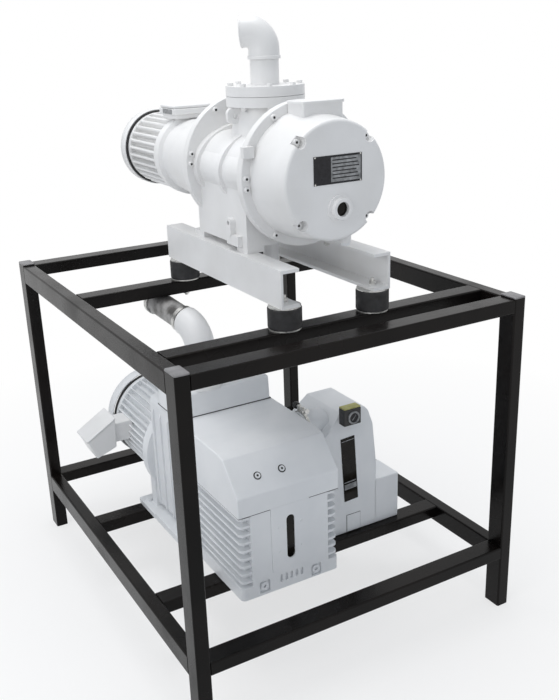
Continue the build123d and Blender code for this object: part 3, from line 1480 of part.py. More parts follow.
with BuildPart() as oil_plugs:
    # two in the oil case and one in the filter, with hexagon sockets
    for face_y, spots, stem in (
        (case_front_y + 8, plug_spots, 16),
        (filter_front_y + 4, ((filter_left_x + 115, lower_bar_top + 33),), 8),
    ):
        with BuildSketch(across(face_y)):
            with Locations(*spots):
                Circle(13)
                RegularPolygon(5, 6, major_radius=False, mode=Mode.SUBTRACT)
        extrude(amount=7)
        with BuildSketch(across(face_y)):
            with Locations(*spots):
                Circle(8)
        extrude(amount=-stem)
    # the drain plug of the gear cover points down
    with BuildSketch(Plane.XY.offset(pump_z - cover_face_radius - 20)):
        with Locations((drain_x, cover_face_y + 48)):
            Circle(8)
    extrude(amount=26)
    with BuildSketch(Plane.XY.offset(pump_z - cover_face_radius - 20)):
        with Locations((drain_x, cover_face_y + 48)):
            RegularPolygon(11, 6, major_radius=False)
    extrude(amount=-8)
write(oil_plugs.part, "oil_plugs")

with BuildPart() as filter_gauge:
    gauge_x, gauge_z = filter_left_x + 104.0, lower_bar_top + 398.0
    with BuildSketch(across(filter_front_y)):
        with Locations((gauge_x, gauge_z)):
            RectangleRounded(60, 60, 5)
    extrude(amount=30)
    extrude(disc_section(across(filter_front_y - 30), gauge_x, gauge_z, 24), amount=5)
    extrude(disc_section(across(filter_front_y - 35), gauge_x, gauge_z, 20), amount=2, mode=Mode.SUBTRACT)
write(filter_gauge.part, "filter_gauge")

hood_side_x = backing_x + case_width / 2 + 2
with BuildPart() as exhaust_pipe:
    to_right = Plane(origin=(hood_side_x, exhaust_y, exhaust_z), z_dir=(1, 0, 0))
    with BuildSketch(to_right):
        Circle(exhaust_radius)
        Circle(exhaust_radius - 6, mode=Mode.SUBTRACT)
    extrude(amount=filter_left_x - hood_side_x)
    with BuildSketch(to_right.offset(12)):
        Circle(exhaust_collar)
        Circle(exhaust_radius - 6, mode=Mode.SUBTRACT)
    extrude(amount=14)
write(exhaust_pipe.part, "exhaust_pipe")

with BuildPart() as exhaust_clamp:
    with BuildSketch(to_right.offset(8)):
        Circle(exhaust_collar + 12)
        Circle(exhaust_radius + 0.3, mode=Mode.SUBTRACT)
    extrude(amount=22)
    with BuildSketch(to_right.offset(12 - 0.3)):
        Circle(exhaust_collar + 0.3)
    extrude(amount=14.6, mode=Mode.SUBTRACT)
    with BuildSketch(Plane.XY.offset(exhaust_z + exhaust_collar + 10)):
        with Locations((hood_side_x + 19, exhaust_y)):
            Rectangle(18, 46)
    extrude(amount=16)
    # star knob of the clamp's screw
    with BuildSketch(Plane.XZ.offset(-exhaust_y + 23.3)):
        with Locations((hood_side_x + 19, exhaust_z + exhaust_collar + 18)):
            Circle(13)
            with PolarLocations(13, 6):
                Circle(3.5, mode=Mode.SUBTRACT)
    extrude(amount=16)
write(exhaust_clamp.part, "exhaust_clamp")
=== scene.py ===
from math import atan2, cos, pi, radians, sin, tan

import bmesh
import bpy
from mathutils import Matrix, Vector


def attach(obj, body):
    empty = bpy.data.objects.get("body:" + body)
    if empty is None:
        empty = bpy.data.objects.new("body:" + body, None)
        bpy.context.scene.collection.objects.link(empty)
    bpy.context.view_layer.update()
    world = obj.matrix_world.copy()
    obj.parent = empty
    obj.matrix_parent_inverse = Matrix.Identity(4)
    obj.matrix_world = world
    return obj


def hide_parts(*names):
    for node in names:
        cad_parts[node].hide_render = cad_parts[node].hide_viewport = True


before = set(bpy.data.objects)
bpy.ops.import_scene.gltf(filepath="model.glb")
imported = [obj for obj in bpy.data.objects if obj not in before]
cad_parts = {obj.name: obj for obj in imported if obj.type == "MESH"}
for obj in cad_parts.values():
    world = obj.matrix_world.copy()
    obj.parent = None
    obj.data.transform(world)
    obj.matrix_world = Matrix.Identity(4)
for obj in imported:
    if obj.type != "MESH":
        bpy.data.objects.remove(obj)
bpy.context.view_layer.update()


# The view: from the front left, a little above the pump, looking down at the stand.
# A 46 mm lens on a full-frame sensor, turned by two degrees about its own axis.
camera = bpy.data.objects.new("camera", bpy.data.cameras.new("camera"))
bpy.context.scene.collection.objects.link(camera)
camera.data.lens = 46.36
camera.data.sensor_width = 36.0
camera.data.clip_end = 60.0
eye = (-1.244, -2.3885, 1.7225)
turned_right, tipped_down, rolled = 0.5155, 0.3444, -0.0347
camera.matrix_world = (
    Matrix.Translation(eye)
    @ Matrix.Rotation(-turned_right, 4, "Z")
    @ Matrix.Rotation(pi / 2 - tipped_down, 4, "X")
    @ Matrix.Rotation(rolled, 4, "Z")
)
bpy.context.scene.camera = camera
bpy.context.scene.view_settings.view_transform = "Standard"


# The floor: a wide pale sheet that keeps a soft shadow of the stand.
# Away from the stand it fades to plain white, as a studio sweep does.
def material_named(name):
    material = bpy.data.materials.new(name)
    material.use_nodes = True
    nodes, links = material.node_tree.nodes, material.node_tree.links
    return material, nodes, links, nodes["Principled BSDF"]


half = 14.0
floor_corners = [(-half, -half, 0), (half, -half, 0), (half, half, 0), (-half, half, 0)]
floor_mesh = bpy.data.meshes.new("floor")
floor_mesh.from_pydata(floor_corners, [], [(0, 1, 2, 3)])
floor = bpy.data.objects.new("floor", floor_mesh)
bpy.context.scene.collection.objects.link(floor)
floor_paint, nodes, links, shader = material_named("floor")
shader.inputs["Base Color"].default_value = (0.88, 0.88, 0.88, 1)
shader.inputs["Roughness"].default_value = 0.9
white = nodes.new("ShaderNodeEmission")
white.inputs["Color"].default_value = (1, 1, 1, 1)
blend = nodes.new("ShaderNodeMixShader")
place = nodes.new("ShaderNodeNewGeometry")
reach = nodes.new("ShaderNodeVectorMath")
reach.operation = "LENGTH"
fade = nodes.new("ShaderNodeMapRange")
fade.inputs["From Min"].default_value = 0.5
fade.inputs["From Max"].default_value = 2.2
fade.inputs["To Min"].default_value = 0.62
links.new(place.outputs["Position"], reach.inputs[0])
links.new(reach.outputs["Value"], fade.inputs["Value"])
seen = nodes.new("ShaderNodeLightPath")
either = nodes.new("ShaderNodeMath")
either.operation = "MAXIMUM"
links.new(seen.outputs["Is Camera Ray"], either.inputs[0])
links.new(seen.outputs["Is Glossy Ray"], either.inputs[1])
share = nodes.new("ShaderNodeMath")
share.operation = "MULTIPLY"
links.new(fade.outputs["Result"], share.inputs[0])
links.new(either.outputs["Value"], share.inputs[1])
links.new(share.outputs["Value"], blend.inputs["Fac"])
links.new(shader.outputs["BSDF"], blend.inputs[1])
links.new(white.outputs["Emission"], blend.inputs[2])
links.new(blend.outputs["Shader"], nodes["Material Output"].inputs["Surface"])
floor_mesh.materials.append(floor_paint)


# The light: a cool pale sky from all round, a broad soft panel overhead, and a weaker one
# from the left. Metal and glass see the same white that stands behind the pump.
world = bpy.data.worlds.new("sky")
bpy.context.scene.world = world
world.use_nodes = True
nodes, links = world.node_tree.nodes, world.node_tree.links
sky = nodes["Background"]
sky.inputs["Color"].default_value = (0.88, 0.93, 1.0, 1)
sky.inputs["Strength"].default_value = 0.60
backdrop = nodes.new("ShaderNodeBackground")
backdrop.inputs["Color"].default_value = (1, 1, 1, 1)
blend = nodes.new("ShaderNodeMixShader")
seen = nodes.new("ShaderNodeLightPath")
first = nodes.new("ShaderNodeMath")
first.operation = "MAXIMUM"
either = nodes.new("ShaderNodeMath")
either.operation = "MAXIMUM"
links.new(seen.outputs["Is Camera Ray"], first.inputs[0])
links.new(seen.outputs["Is Glossy Ray"], first.inputs[1])
links.new(first.outputs["Value"], either.inputs[0])
links.new(seen.outputs["Is Transmission Ray"], either.inputs[1])
links.new(either.outputs["Value"], blend.inputs["Fac"])
links.new(sky.outputs["Background"], blend.inputs[1])
links.new(backdrop.outputs["Background"], blend.inputs[2])
links.new(blend.outputs["Shader"], nodes["World Output"].inputs["Surface"])

aimed_at = Vector((0, 0, 0.9))
for name, spot, size, power in (
    ("lamp_above", (-0.3, 0.2, 4.6), 2.8, 78.0),
    ("lamp_left", (-3.6, -1.2, 2.6), 2.4, 30.0),
):
    panel = bpy.data.lights.new(name, "AREA")
    panel.shape = "DISK"
    panel.size = size
    panel.energy = power
    lamp = bpy.data.objects.new(name, panel)
    bpy.context.scene.collection.objects.link(lamp)
    lamp.location = spot
    lamp.rotation_mode = "QUATERNION"
    lamp.rotation_quaternion = (Vector(spot) - aimed_at).to_track_quat("Z", "Y")


# The stand: rectangular steel tube, welded square and sprayed with gloss black paint,
# with rails along, across and low down, and a flat steel cap on each post.
def mottled(nodes, links, shader, dark, light, scale, detail=4.0):
    """Drifts the colour between two shades, and returns the coordinates for the gloss and grain."""
    spots = nodes.new("ShaderNodeTexCoord")
    drift = nodes.new("ShaderNodeTexNoise")
    drift.inputs["Scale"].default_value = scale
    drift.inputs["Detail"].default_value = detail
    shades = nodes.new("ShaderNodeValToRGB")
    shades.color_ramp.elements[0].position = 0.35
    shades.color_ramp.elements[1].position = 0.65
    shades.color_ramp.elements[0].color = (*dark, 1)
    shades.color_ramp.elements[1].color = (*light, 1)
    links.new(spots.outputs["Object"], drift.inputs["Vector"])
    links.new(drift.outputs["Fac"], shades.inputs["Fac"])
    links.new(shades.outputs["Color"], shader.inputs["Base Color"])
    return spots


def uneven(nodes, links, shader, spots, low, high, scale):
    """Varies the gloss a little from place to place."""
    drift = nodes.new("ShaderNodeTexNoise")
    drift.inputs["Scale"].default_value = scale
    drift.inputs["Detail"].default_value = 3.0
    gloss = nodes.new("ShaderNodeMapRange")
    gloss.inputs["From Min"].default_value = 0.3
    gloss.inputs["From Max"].default_value = 0.7
    gloss.inputs["To Min"].default_value = low
    gloss.inputs["To Max"].default_value = high
    links.new(spots.outputs["Object"], drift.inputs["Vector"])
    links.new(drift.outputs["Fac"], gloss.inputs["Value"])
    links.new(gloss.outputs["Result"], shader.inputs["Roughness"])


def rough_skin(nodes, links, shader, spots, scale, height, strength=0.5):
    """Raises a fine grain, such as sprayed paint or a cast skin has."""
    grain = nodes.new("ShaderNodeTexNoise")
    grain.inputs["Scale"].default_value = scale
    grain.inputs["Detail"].default_value = 2.0
    bump = nodes.new("ShaderNodeBump")
    bump.inputs["Strength"].default_value = strength
    bump.inputs["Distance"].default_value = height
    links.new(spots.outputs["Object"], grain.inputs["Vector"])
    links.new(grain.outputs["Fac"], bump.inputs["Height"])
    links.new(bump.outputs["Normal"], shader.inputs["Normal"])


def finished(material, *names):
    """Gives the named pieces of the frame this finish."""
    for name in names:
        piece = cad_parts[name]
        piece.data.materials.clear()
        piece.data.materials.append(material)


black_paint, nodes, links, shader = material_named("black_gloss_paint")
shader.inputs["Specular IOR Level"].default_value = 0.13
spots = mottled(nodes, links, shader, (0.0022, 0.0019, 0.0018), (0.008, 0.0062, 0.0055), 4.0)
uneven(nodes, links, shader, spots, 0.14, 0.34, 7.0)
rough_skin(nodes, links, shader, spots, 260.0, 0.0006)
finished(black_paint, "posts", "crossbars", "side_bars")

cap_steel, nodes, links, shader = material_named("grey_cap_steel")
shader.inputs["Metallic"].default_value = 0.55
spots = mottled(nodes, links, shader, (0.17, 0.165, 0.17), (0.27, 0.27, 0.28), 18.0)
uneven(nodes, links, shader, spots, 0.38, 0.55, 24.0)
rough_skin(nodes, links, shader, spots, 420.0, 0.0004)
finished(cap_steel, "post_caps")


# Two channel rails carry the Roots pump: hot-rolled steel, painted white with the pump.
# The paint is a satin two-pack over a slightly grainy skin.
white_paint, nodes, links, shader = material_named("white_satin_paint")
shader.inputs["Coat Weight"].default_value = 0.15
shader.inputs["Coat Roughness"].default_value = 0.2
spots = mottled(nodes, links, shader, (0.79, 0.785, 0.775), (0.85, 0.845, 0.84), 7.0)
uneven(nodes, links, shader, spots, 0.30, 0.46, 12.0)
rough_skin(nodes, links, shader, spots, 330.0, 0.0006, 0.35)
finished(
    white_paint, "left_rail", "right_rail", "roots_casing", "front_end_plate", "rear_end_plate",
    "gear_cover", "filler_box_lid", "sight_glass_ring", "lantern", "inlet_flange", "inlet_gasket",
    "inlet_flange_bolts", "inlet_collar", "suction_elbow", "vacuum_line",
)


# Four cylindrical rubber mounts, vulcanised between steel discs and screwed between the bars of
# the stand and the rails. They keep the pump's shaking out of the stand.
rubber, nodes, links, shader = material_named("black_rubber")
spots = mottled(nodes, links, shader, (0.012, 0.012, 0.013), (0.024, 0.024, 0.026), 40.0)
uneven(nodes, links, shader, spots, 0.55, 0.78, 60.0)
rough_skin(nodes, links, shader, spots, 500.0, 0.0006)
finished(rubber, "rubber_mounts")


# The studs and discs of the mounts, the bolts of the rails and the clips of the hose: steel with
# a bright zinc plating, screwed or tightened in place.
zinc, nodes, links, shader = material_named("bright_zinc")
shader.inputs["Metallic"].default_value = 0.9
spots = mottled(nodes, links, shader, (0.50, 0.50, 0.49), (0.68, 0.68, 0.66), 90.0)
uneven(nodes, links, shader, spots, 0.25, 0.42, 140.0)
rough_skin(nodes, links, shader, spots, 900.0, 0.0003)
finished(zinc, "mount_studs", "rail_fasteners", "hose_clamps")


# Inside the pumps and motors: ground cast-iron rotors, hardened timing gears, bearings, coupling
# and shafts. They are bare machined metal, and hardly any of it can be seen.
machined, nodes, links, shader = material_named("machined_steel")
shader.inputs["Metallic"].default_value = 0.95
spots = mottled(nodes, links, shader, (0.36, 0.36, 0.37), (0.48, 0.48, 0.49), 50.0)
uneven(nodes, links, shader, spots, 0.22, 0.40, 120.0)
rough_skin(nodes, links, shader, spots, 1400.0, 0.0002)
finished(
    machined, "drive_rotor", "driven_rotor", "rotor_bearings", "drive_timing_gear",
    "driven_timing_gear", "shaft_coupling", "motor_shaft", "backing_motor_shaft", "vane_rotor",
)


# The oil windows: thick glass over dark oil. One is held by a ring in the gear cover, and the
# other is let into the front of the oil case.
oil_glass, nodes, links, shader = material_named("dark_oil_glass")
shader.inputs["Specular IOR Level"].default_value = 0.16
spots = mottled(nodes, links, shader, (0.003, 0.0025, 0.002), (0.012, 0.010, 0.007), 30.0)
uneven(nodes, links, shader, spots, 0.06, 0.16, 40.0)
finished(oil_glass, "sight_glass", "oil_window")


# Black moulded plastic: both cooling fans, the gauge body and the knob of the exhaust clamp. The
# carbon vanes in the backing pump's rotor have the same dull black.
black_plastic, nodes, links, shader = material_named("black_plastic")
spots = mottled(nodes, links, shader, (0.014, 0.014, 0.015), (0.026, 0.026, 0.028), 60.0)
uneven(nodes, links, shader, spots, 0.40, 0.60, 80.0)
rough_skin(nodes, links, shader, spots, 700.0, 0.0003)
finished(black_plastic, "rotor_vanes")


# The backing pump and its filter: cast aluminium and pressed sheet, screwed together and painted
# in a cooler, greyer white.
grey_paint, nodes, links, shader = material_named("pale_grey_paint")
shader.inputs["Coat Weight"].default_value = 0.12
shader.inputs["Coat Roughness"].default_value = 0.25
spots = mottled(nodes, links, shader, (0.76, 0.775, 0.79), (0.83, 0.84, 0.85), 6.0)
uneven(nodes, links, shader, spots, 0.34, 0.50, 14.0)
rough_skin(nodes, links, shader, spots, 300.0, 0.0007, 0.4)
finished(
    grey_paint, "oil_case", "front_panel", "hood", "case_screws", "pump_module", "port_block",
    "motor_bell", "oil_plugs",
)


# The suction hose: grey plastic reinforced with wire, mottled dark and light. A clip holds it at
# each end.
hose_skin, nodes, links, shader = material_named("grey_hose")
spots = mottled(nodes, links, shader, (0.10, 0.095, 0.09), (0.42, 0.41, 0.40), 30.0)
uneven(nodes, links, shader, spots, 0.35, 0.55, 60.0)
finished(hose_skin, "suction_hose")


# The filter element: a sleeve of pale filter medium that stands inside the filter's housing and
# catches the oil mist of the exhaust.
medium, nodes, links, shader = material_named("filter_medium")
spots = mottled(nodes, links, shader, (0.62, 0.58, 0.48), (0.78, 0.74, 0.64), 50.0)
uneven(nodes, links, shader, spots, 0.75, 0.9, 80.0)
finished(medium, "filter_element")


# The wide suction elbow on the inlet: a drawn steel bend, welded to a short socket and painted
# with the pump. It turns towards the motors and ends in a plain mouth with a rolled lip.
def ring(shape, centre, way, radius, steps=72, side=None):
    """A ring of points about a centre, square to the way."""
    side = (side or way.orthogonal()).normalized()
    other = way.cross(side).normalized()
    turns = [2 * pi * step / steps for step in range(steps)]
    return [shape.verts.new(centre + radius * (cos(turn) * side + sin(turn) * other)) for turn in turns]


def skin(shape, rings, closed=False):
    """Joins rings in their order; an open run is capped at both ends."""
    pairs = list(zip(rings, rings[1:]))
    if closed:
        pairs.append((rings[-1], rings[0]))
    else:
        shape.faces.new(rings[0])
        shape.faces.new(list(reversed(rings[-1])))
    for first, second in pairs:
        count = len(first)
        for i in range(count):
            j = (i + 1) % count
            shape.faces.new((first[i], second[i], second[j], first[j]))


def made(name, shape, material, bevel=0.0, body="pump_set"):
    """Turns a shape into a piece that rides on a body, with its edges softened."""
    bmesh.ops.recalc_face_normals(shape, faces=shape.faces)
    mesh = bpy.data.meshes.new(name)
    shape.to_mesh(mesh)
    shape.free()
    mesh.materials.append(material)
    mesh.shade_smooth()
    mesh.set_sharp_from_angle(angle=radians(32))
    piece = bpy.data.objects.new(name, mesh)
    bpy.context.scene.collection.objects.link(piece)
    if bevel:
        soft = piece.modifiers.new("soft edges", "BEVEL")
        soft.width = bevel
        soft.segments = 3
        soft.limit_method = "ANGLE"
        soft.angle_limit = radians(32)
        soft.harden_normals = True
    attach(piece, body)
    return piece


inlet_x, inlet_y = -0.009, -0.180
socket_low, bend_low = 1.6475, 1.668
bend_radius, bend_turn, heading = 0.046, radians(92), radians(35)
tube_outer, tube_inner, straight_end, bend_steps = 0.042, 0.039, 0.009, 24
towards = Vector((-cos(heading), sin(heading), 0))
across = Vector((0, 0, 1)).cross(towards)
stations = [(Vector((inlet_x, inlet_y, socket_low)), Vector((0, 0, 1)))]
for step in range(bend_steps + 1):
    angle = bend_turn * step / bend_steps
    centre = Vector((inlet_x, inlet_y, bend_low)) + bend_radius * (
        (1 - cos(angle)) * towards + sin(angle) * Vector((0, 0, 1))
    )
    stations.append((centre, sin(angle) * towards + cos(angle) * Vector((0, 0, 1))))
mouth, mouth_way = stations[-1]
stations.append((mouth + straight_end * mouth_way, mouth_way))
shape = bmesh.new()
walls = [ring(shape, centre, way, tube_outer, side=across) for centre, way in stations]
lip = [(0.010, tube_outer + 0.0008), (0.0125, tube_outer + 0.0008), (0.0135, tube_outer - 0.001)]
for forward, radius in lip:
    walls.append(ring(shape, mouth + forward * mouth_way, mouth_way, radius, side=across))
walls += [ring(shape, centre, way, tube_inner, side=across) for centre, way in reversed(stations)]
skin(shape, walls, closed=True)
elbow = made("inlet_bend", shape, white_paint)
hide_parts("inlet_elbow")


# Fasteners of the Roots pump: socket-head screws round both end plates and in the pockets of
# the cover, painted over with the pump. A dark insert in each socket is painted shade, for the shade in the
# recess.
def turned(shape, origin, way, profile, steps=72, closed=False):
    """A turned form: the profile gives the distance along the way and the radius."""
    way = Vector(way).normalized()
    origin = Vector(origin)
    skin(shape, [ring(shape, origin + along * way, way, radius, steps) for along, radius in profile], closed)


pump_x, pump_z = -0.009, 1.359
plate_face_y, rear_plate_face_y, pocket_floor_y = -0.376, -0.050, -0.499
plate_circle, pocket_circle = 0.1755, 0.143
screw_radius, screw_height, screw_edge = 0.0075, 0.008, 0.001
socket_radius, socket_floor = 0.0036, 0.004
screw_spots = [(plate_face_y, plate_circle, angle) for angle in (-7, 2, 59, 121, 178, 187, 237, 303)]
screw_spots += [(rear_plate_face_y, plate_circle, angle) for angle in (3, 12, 59, 121, 168, 177)]
screw_spots += [(pocket_floor_y, pocket_circle, angle) for angle in (45, 135, 225, 315)]
heads, socket_shade = bmesh.new(), bmesh.new()
for seat_y, circle, angle in screw_spots:
    seat = (pump_x + circle * cos(radians(angle)), seat_y, pump_z + circle * sin(radians(angle)))
    turned(heads, seat, (0, -1, 0), [
        (0, screw_radius), (screw_height - screw_edge, screw_radius),
        (screw_height, screw_radius - screw_edge), (screw_height, socket_radius),
        (socket_floor, socket_radius),
    ], steps=28)
    # A dark insert in the socket: painted shade for the shade inside the recess.
    turned(socket_shade, seat, (0, -1, 0), [(0.0041, 0.0034), (0.0075, 0.0034)], steps=6)
screws = made("plate_screws", heads, white_paint)
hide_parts("roots_screws")
# A near-black material that stands in for shade: painted shade in screw sockets, gaps and seams.
painted_shade, nodes, links, shader = material_named("painted_shade")
spots = mottled(nodes, links, shader, (0.010, 0.010, 0.011), (0.030, 0.029, 0.028), 300.0)
uneven(nodes, links, shader, spots, 0.5, 0.8, 200.0)
# The dark inserts in the screw sockets are painted shade.
made("screw_socket_shade", socket_shade, painted_shade)


# The rating plate on the gear cover: thin etched metal with a black band at its left and blank
# ruled fields at its right, held by four small rivets. It carries no words.
def slab(shape, outline, start, depth, axis):
    """A plate or block: its outline lies square to an axis and is carried along it."""
    ends = []
    for level in (start, start + depth):
        corners = {
            "x": [(level, a, b) for a, b in outline],
            "y": [(a, level, b) for a, b in outline],
            "z": [(a, b, level) for a, b in outline],
        }
        ends.append([shape.verts.new(corner) for corner in corners[axis]])
    skin(shape, ends)


def rectangle(low_a, high_a, low_b, high_b):
    """The outline of a rectangle, from its limits both ways."""
    return [(low_a, low_b), (high_a, low_b), (high_a, high_b), (low_a, high_b)]


plate_black, nodes, links, shader = material_named("plate_black")
shader.inputs["Specular IOR Level"].default_value = 0.3
spots = mottled(nodes, links, shader, (0.006, 0.006, 0.008), (0.016, 0.016, 0.020), 120.0)
uneven(nodes, links, shader, spots, 0.25, 0.45, 90.0)
plate_silver, nodes, links, shader = material_named("plate_silver")
shader.inputs["Metallic"].default_value = 0.3
spots = mottled(nodes, links, shader, (0.16, 0.165, 0.17), (0.34, 0.35, 0.36), 70.0)
uneven(nodes, links, shader, spots, 0.3, 0.5, 160.0)

plate_left, plate_right, plate_low, plate_high = -0.0765, 0.0655, 1.3535, 1.4235
cover_face_y, plate_thickness = -0.525, 0.0012
band_right = plate_left + 0.050
rule_first, rule_pitch, rule_height = 0.0125, 0.0088, 0.0028
shape = bmesh.new()
slab(shape, rectangle(plate_left, plate_right, plate_low, plate_high),
     cover_face_y - plate_thickness, plate_thickness, "y")
made("rating_plate", shape, plate_black, bevel=0.0004)
shape = bmesh.new()
slab(shape, rectangle(band_right, plate_right - 0.004, plate_low + 0.005, plate_high - 0.005),
     cover_face_y - 0.0015, 0.0003, "y")
made("rating_plate_field", shape, plate_silver)
shape = bmesh.new()
for row in range(6):
    level = plate_low + rule_first + rule_pitch * row
    rule_right = plate_right - 0.009 - 0.004 * (row % 3)
    slab(shape, rectangle(band_right + 0.004, rule_right, level, level + rule_height),
         cover_face_y - 0.0017, 0.0002, "y")
made("rating_plate_rules", shape, plate_black)
shape = bmesh.new()
for x in (plate_left + 0.004, plate_right - 0.0045):
    for z in (plate_low + 0.0025, plate_high - 0.0025):
        turned(shape, (x, cover_face_y - plate_thickness, z), (0, -1, 0), [
            (0, 0.0022), (0.0006, 0.002), (0.001, 0.001),
        ], steps=16)
made("rating_plate_rivets", shape, zinc)


# The cover of the driven shaft's rear bearing: a low round boss on the rear end plate, which
# fills the opening that the lantern leaves for it.
driven_x, rear_plate_back_y = 0.046, 0.0125
boss_radius, boss_height, boss_edge = 0.0445, 0.029, 0.003
shape = bmesh.new()
turned(shape, (driven_x, rear_plate_back_y, pump_z), (0, 1, 0), [
    (0, boss_radius), (boss_height - boss_edge, boss_radius), (boss_height, boss_radius - boss_edge),
])
made("driven_bearing_cover", shape, white_paint, bevel=0.0008)


# The drive motor of the Roots pump: a finned aluminium barrel between two end shields, with a
# pressed cowl over the fan behind it. A dark ring between the cowl and the fins is painted shade, for the
# shade in the gap there.
def radial_rib(shape, axis_x, axis_z, angle, sections):
    """A rib that stands out from an axis along Y, skinned over its outlines along that axis."""
    out = Vector((cos(angle), 0, sin(angle)))
    side = Vector((-sin(angle), 0, cos(angle)))
    skin(shape, [
        [shape.verts.new(Vector((axis_x, y, axis_z)) + a * out + b * side) for a, b in corners]
        for y, corners in sections
    ])


def finned_barrel(axis_x, axis_z, front, rear, outer, core, bore, shaft, shield, fins, fin):
    """A motor's housing: a hollow barrel with end shields, and fins set round it."""
    shoulder, crest, sunk, lap = 0.004, 0.0015, 0.002, 0.001
    shape = bmesh.new()
    turned(shape, (axis_x, 0, axis_z), (0, 1, 0), [
        (front, shaft), (front, outer), (front + shield, outer), (front + shield, core),
        (rear - shield, core), (rear - shield, outer - shoulder), (rear, outer - shoulder), (rear, shaft),
        (rear - shield, shaft), (rear - shield, bore), (front + shield, bore), (front + shield, shaft),
    ], steps=96, closed=True)
    corners = [
        (core - sunk, -fin * 0.75), (outer - shoulder, -fin * 0.5), (outer - crest, 0.0),
        (outer - shoulder, fin * 0.5), (core - sunk, fin * 0.75),
    ]
    sections = [(front + shield - lap, corners), (rear - shield + lap, corners)]
    for number in range(fins):
        radial_rib(shape, axis_x, axis_z, 2 * pi * (number + 0.5) / fins, sections)
    return shape


def fan_cowl(axis_x, axis_z, front, rear, radius, hub):
    """A pressed cowl: a round sleeve with a rolled rear edge and a grille of rings."""
    wall, rings, bar, spokes, spoke = 0.0025, 7, 0.0022, 6, 0.003
    shape = bmesh.new()
    turned(shape, (axis_x, 0, axis_z), (0, 1, 0), [
        (front, radius), (rear - 0.015, radius), (rear - 0.004, radius - 0.006), (rear, radius - 0.020),
        (rear, radius - 0.026), (rear - wall, radius - 0.026), (rear - wall, radius - 0.021),
        (rear - 0.006, radius - 0.008), (rear - 0.016, radius - wall), (front, radius - wall),
    ], steps=96, closed=True)
    for number in range(rings):
        middle = hub + (radius - 0.030 - hub) * (number + 0.5) / rings
        turned(shape, (axis_x, 0, axis_z), (0, 1, 0), [
            (rear - wall, middle - bar), (rear, middle - bar), (rear, middle + bar),
            (rear - wall, middle + bar),
        ], closed=True)
    turned(shape, (axis_x, 0, axis_z), (0, 1, 0), [(rear - wall, hub), (rear, hub)])
    inner, outer = hub - 0.002, radius - 0.024
    corners = [(inner, -spoke), (outer, -spoke), (outer, spoke), (inner, spoke)]
    sections = [(rear - 2 * wall, corners), (rear - wall + 0.0002, corners)]
    for number in range(spokes):
        radial_rib(shape, axis_x, axis_z, pi * number / 3, sections)
    return shape


def cooling_fan(axis_x, axis_z, front, rear, radius, shaft, blades):
    """A moulded fan: a long hub on the shaft, a back plate, and straight radial blades."""
    hub_length, plate, inner, blade = 0.046, 0.004, shaft - 0.002, 0.0015
    shape = bmesh.new()
    turned(shape, (axis_x, 0, axis_z), (0, 1, 0), [(front - hub_length, shaft), (rear, shaft)], steps=40)
    turned(shape, (axis_x, 0, axis_z), (0, 1, 0), [(front, radius), (front + plate, radius)])
    sections = [
        (y, [(inner, -blade), (reach, -blade), (reach, blade), (inner, blade)])
        for y, reach in ((front + 0.003, radius - 0.002), (rear, radius - 0.014))
    ]
    for number in range(blades):
        radial_rib(shape, axis_x, axis_z, 2 * pi * number / blades, sections)
    return shape


def cowl_gap_shade(name, axis_x, axis_z, front, rear, inner, outer):
    """A dark ring of painted shade, for the shade that falls between a motor's fins and its cowl."""
    shape = bmesh.new()
    turned(shape, (axis_x, 0, axis_z), (0, 1, 0), [
        (front, inner), (front, outer), (rear, outer), (rear, inner),
    ], closed=True)
    made(name, shape, painted_shade)


drive_x = -0.064
shape = finned_barrel(
    drive_x, pump_z, front=0.2125, rear=0.448, outer=0.1165, core=0.094, bore=0.0665, shaft=0.0155,
    shield=0.015, fins=30, fin=0.0085,
)
motor_shell = made("motor_barrel", shape, white_paint, bevel=0.001)
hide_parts("motor_housing")
shape = fan_cowl(drive_x, pump_z, front=0.455, rear=0.510, radius=0.121, hub=0.018)
cowl = made("motor_fan_cowl", shape, white_paint)
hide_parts("motor_cowl")
shape = cooling_fan(drive_x, pump_z, front=0.464, rear=0.496, radius=0.104, shaft=0.0145, blades=9)
fan = made("motor_cooling_fan", shape, black_plastic, body="drive_shaft")
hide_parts("motor_fan")
# A dark ring of painted shade between the drive motor's fins and its cowl.
cowl_gap_shade("motor_cowl_gap_shade", drive_x, pump_z, front=0.448, rear=0.456, inner=0.096, outer=0.1165)


# The drive motor's terminal box: a low cast box screwed on the barrel, with a lid and a small
# dark plate on its side.
lid_left, lid_right, lid_front, lid_rear = -0.133, -0.005, 0.160, 0.270
shape = bmesh.new()
for inset_x, inset_y, low, height in (
    (0.007, 0.008, 1.470, 0.014), (0, 0, 1.483, 0.018), (0.002, 0.002, 1.5015, 0.0085),
):
    outline = rectangle(lid_left + inset_x, lid_right - inset_x, lid_front + inset_y, lid_rear - inset_y)
    slab(shape, outline, low, height, "z")
box = made("motor_terminal_box", shape, white_paint, bevel=0.0035)
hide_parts("terminal_box")
shape = bmesh.new()
slab(shape, rectangle(0.174, 0.240, 1.4855, 1.5), lid_left - 0.0015, 0.0016, "x")
made("terminal_box_plate", shape, plate_silver, bevel=0.0004)


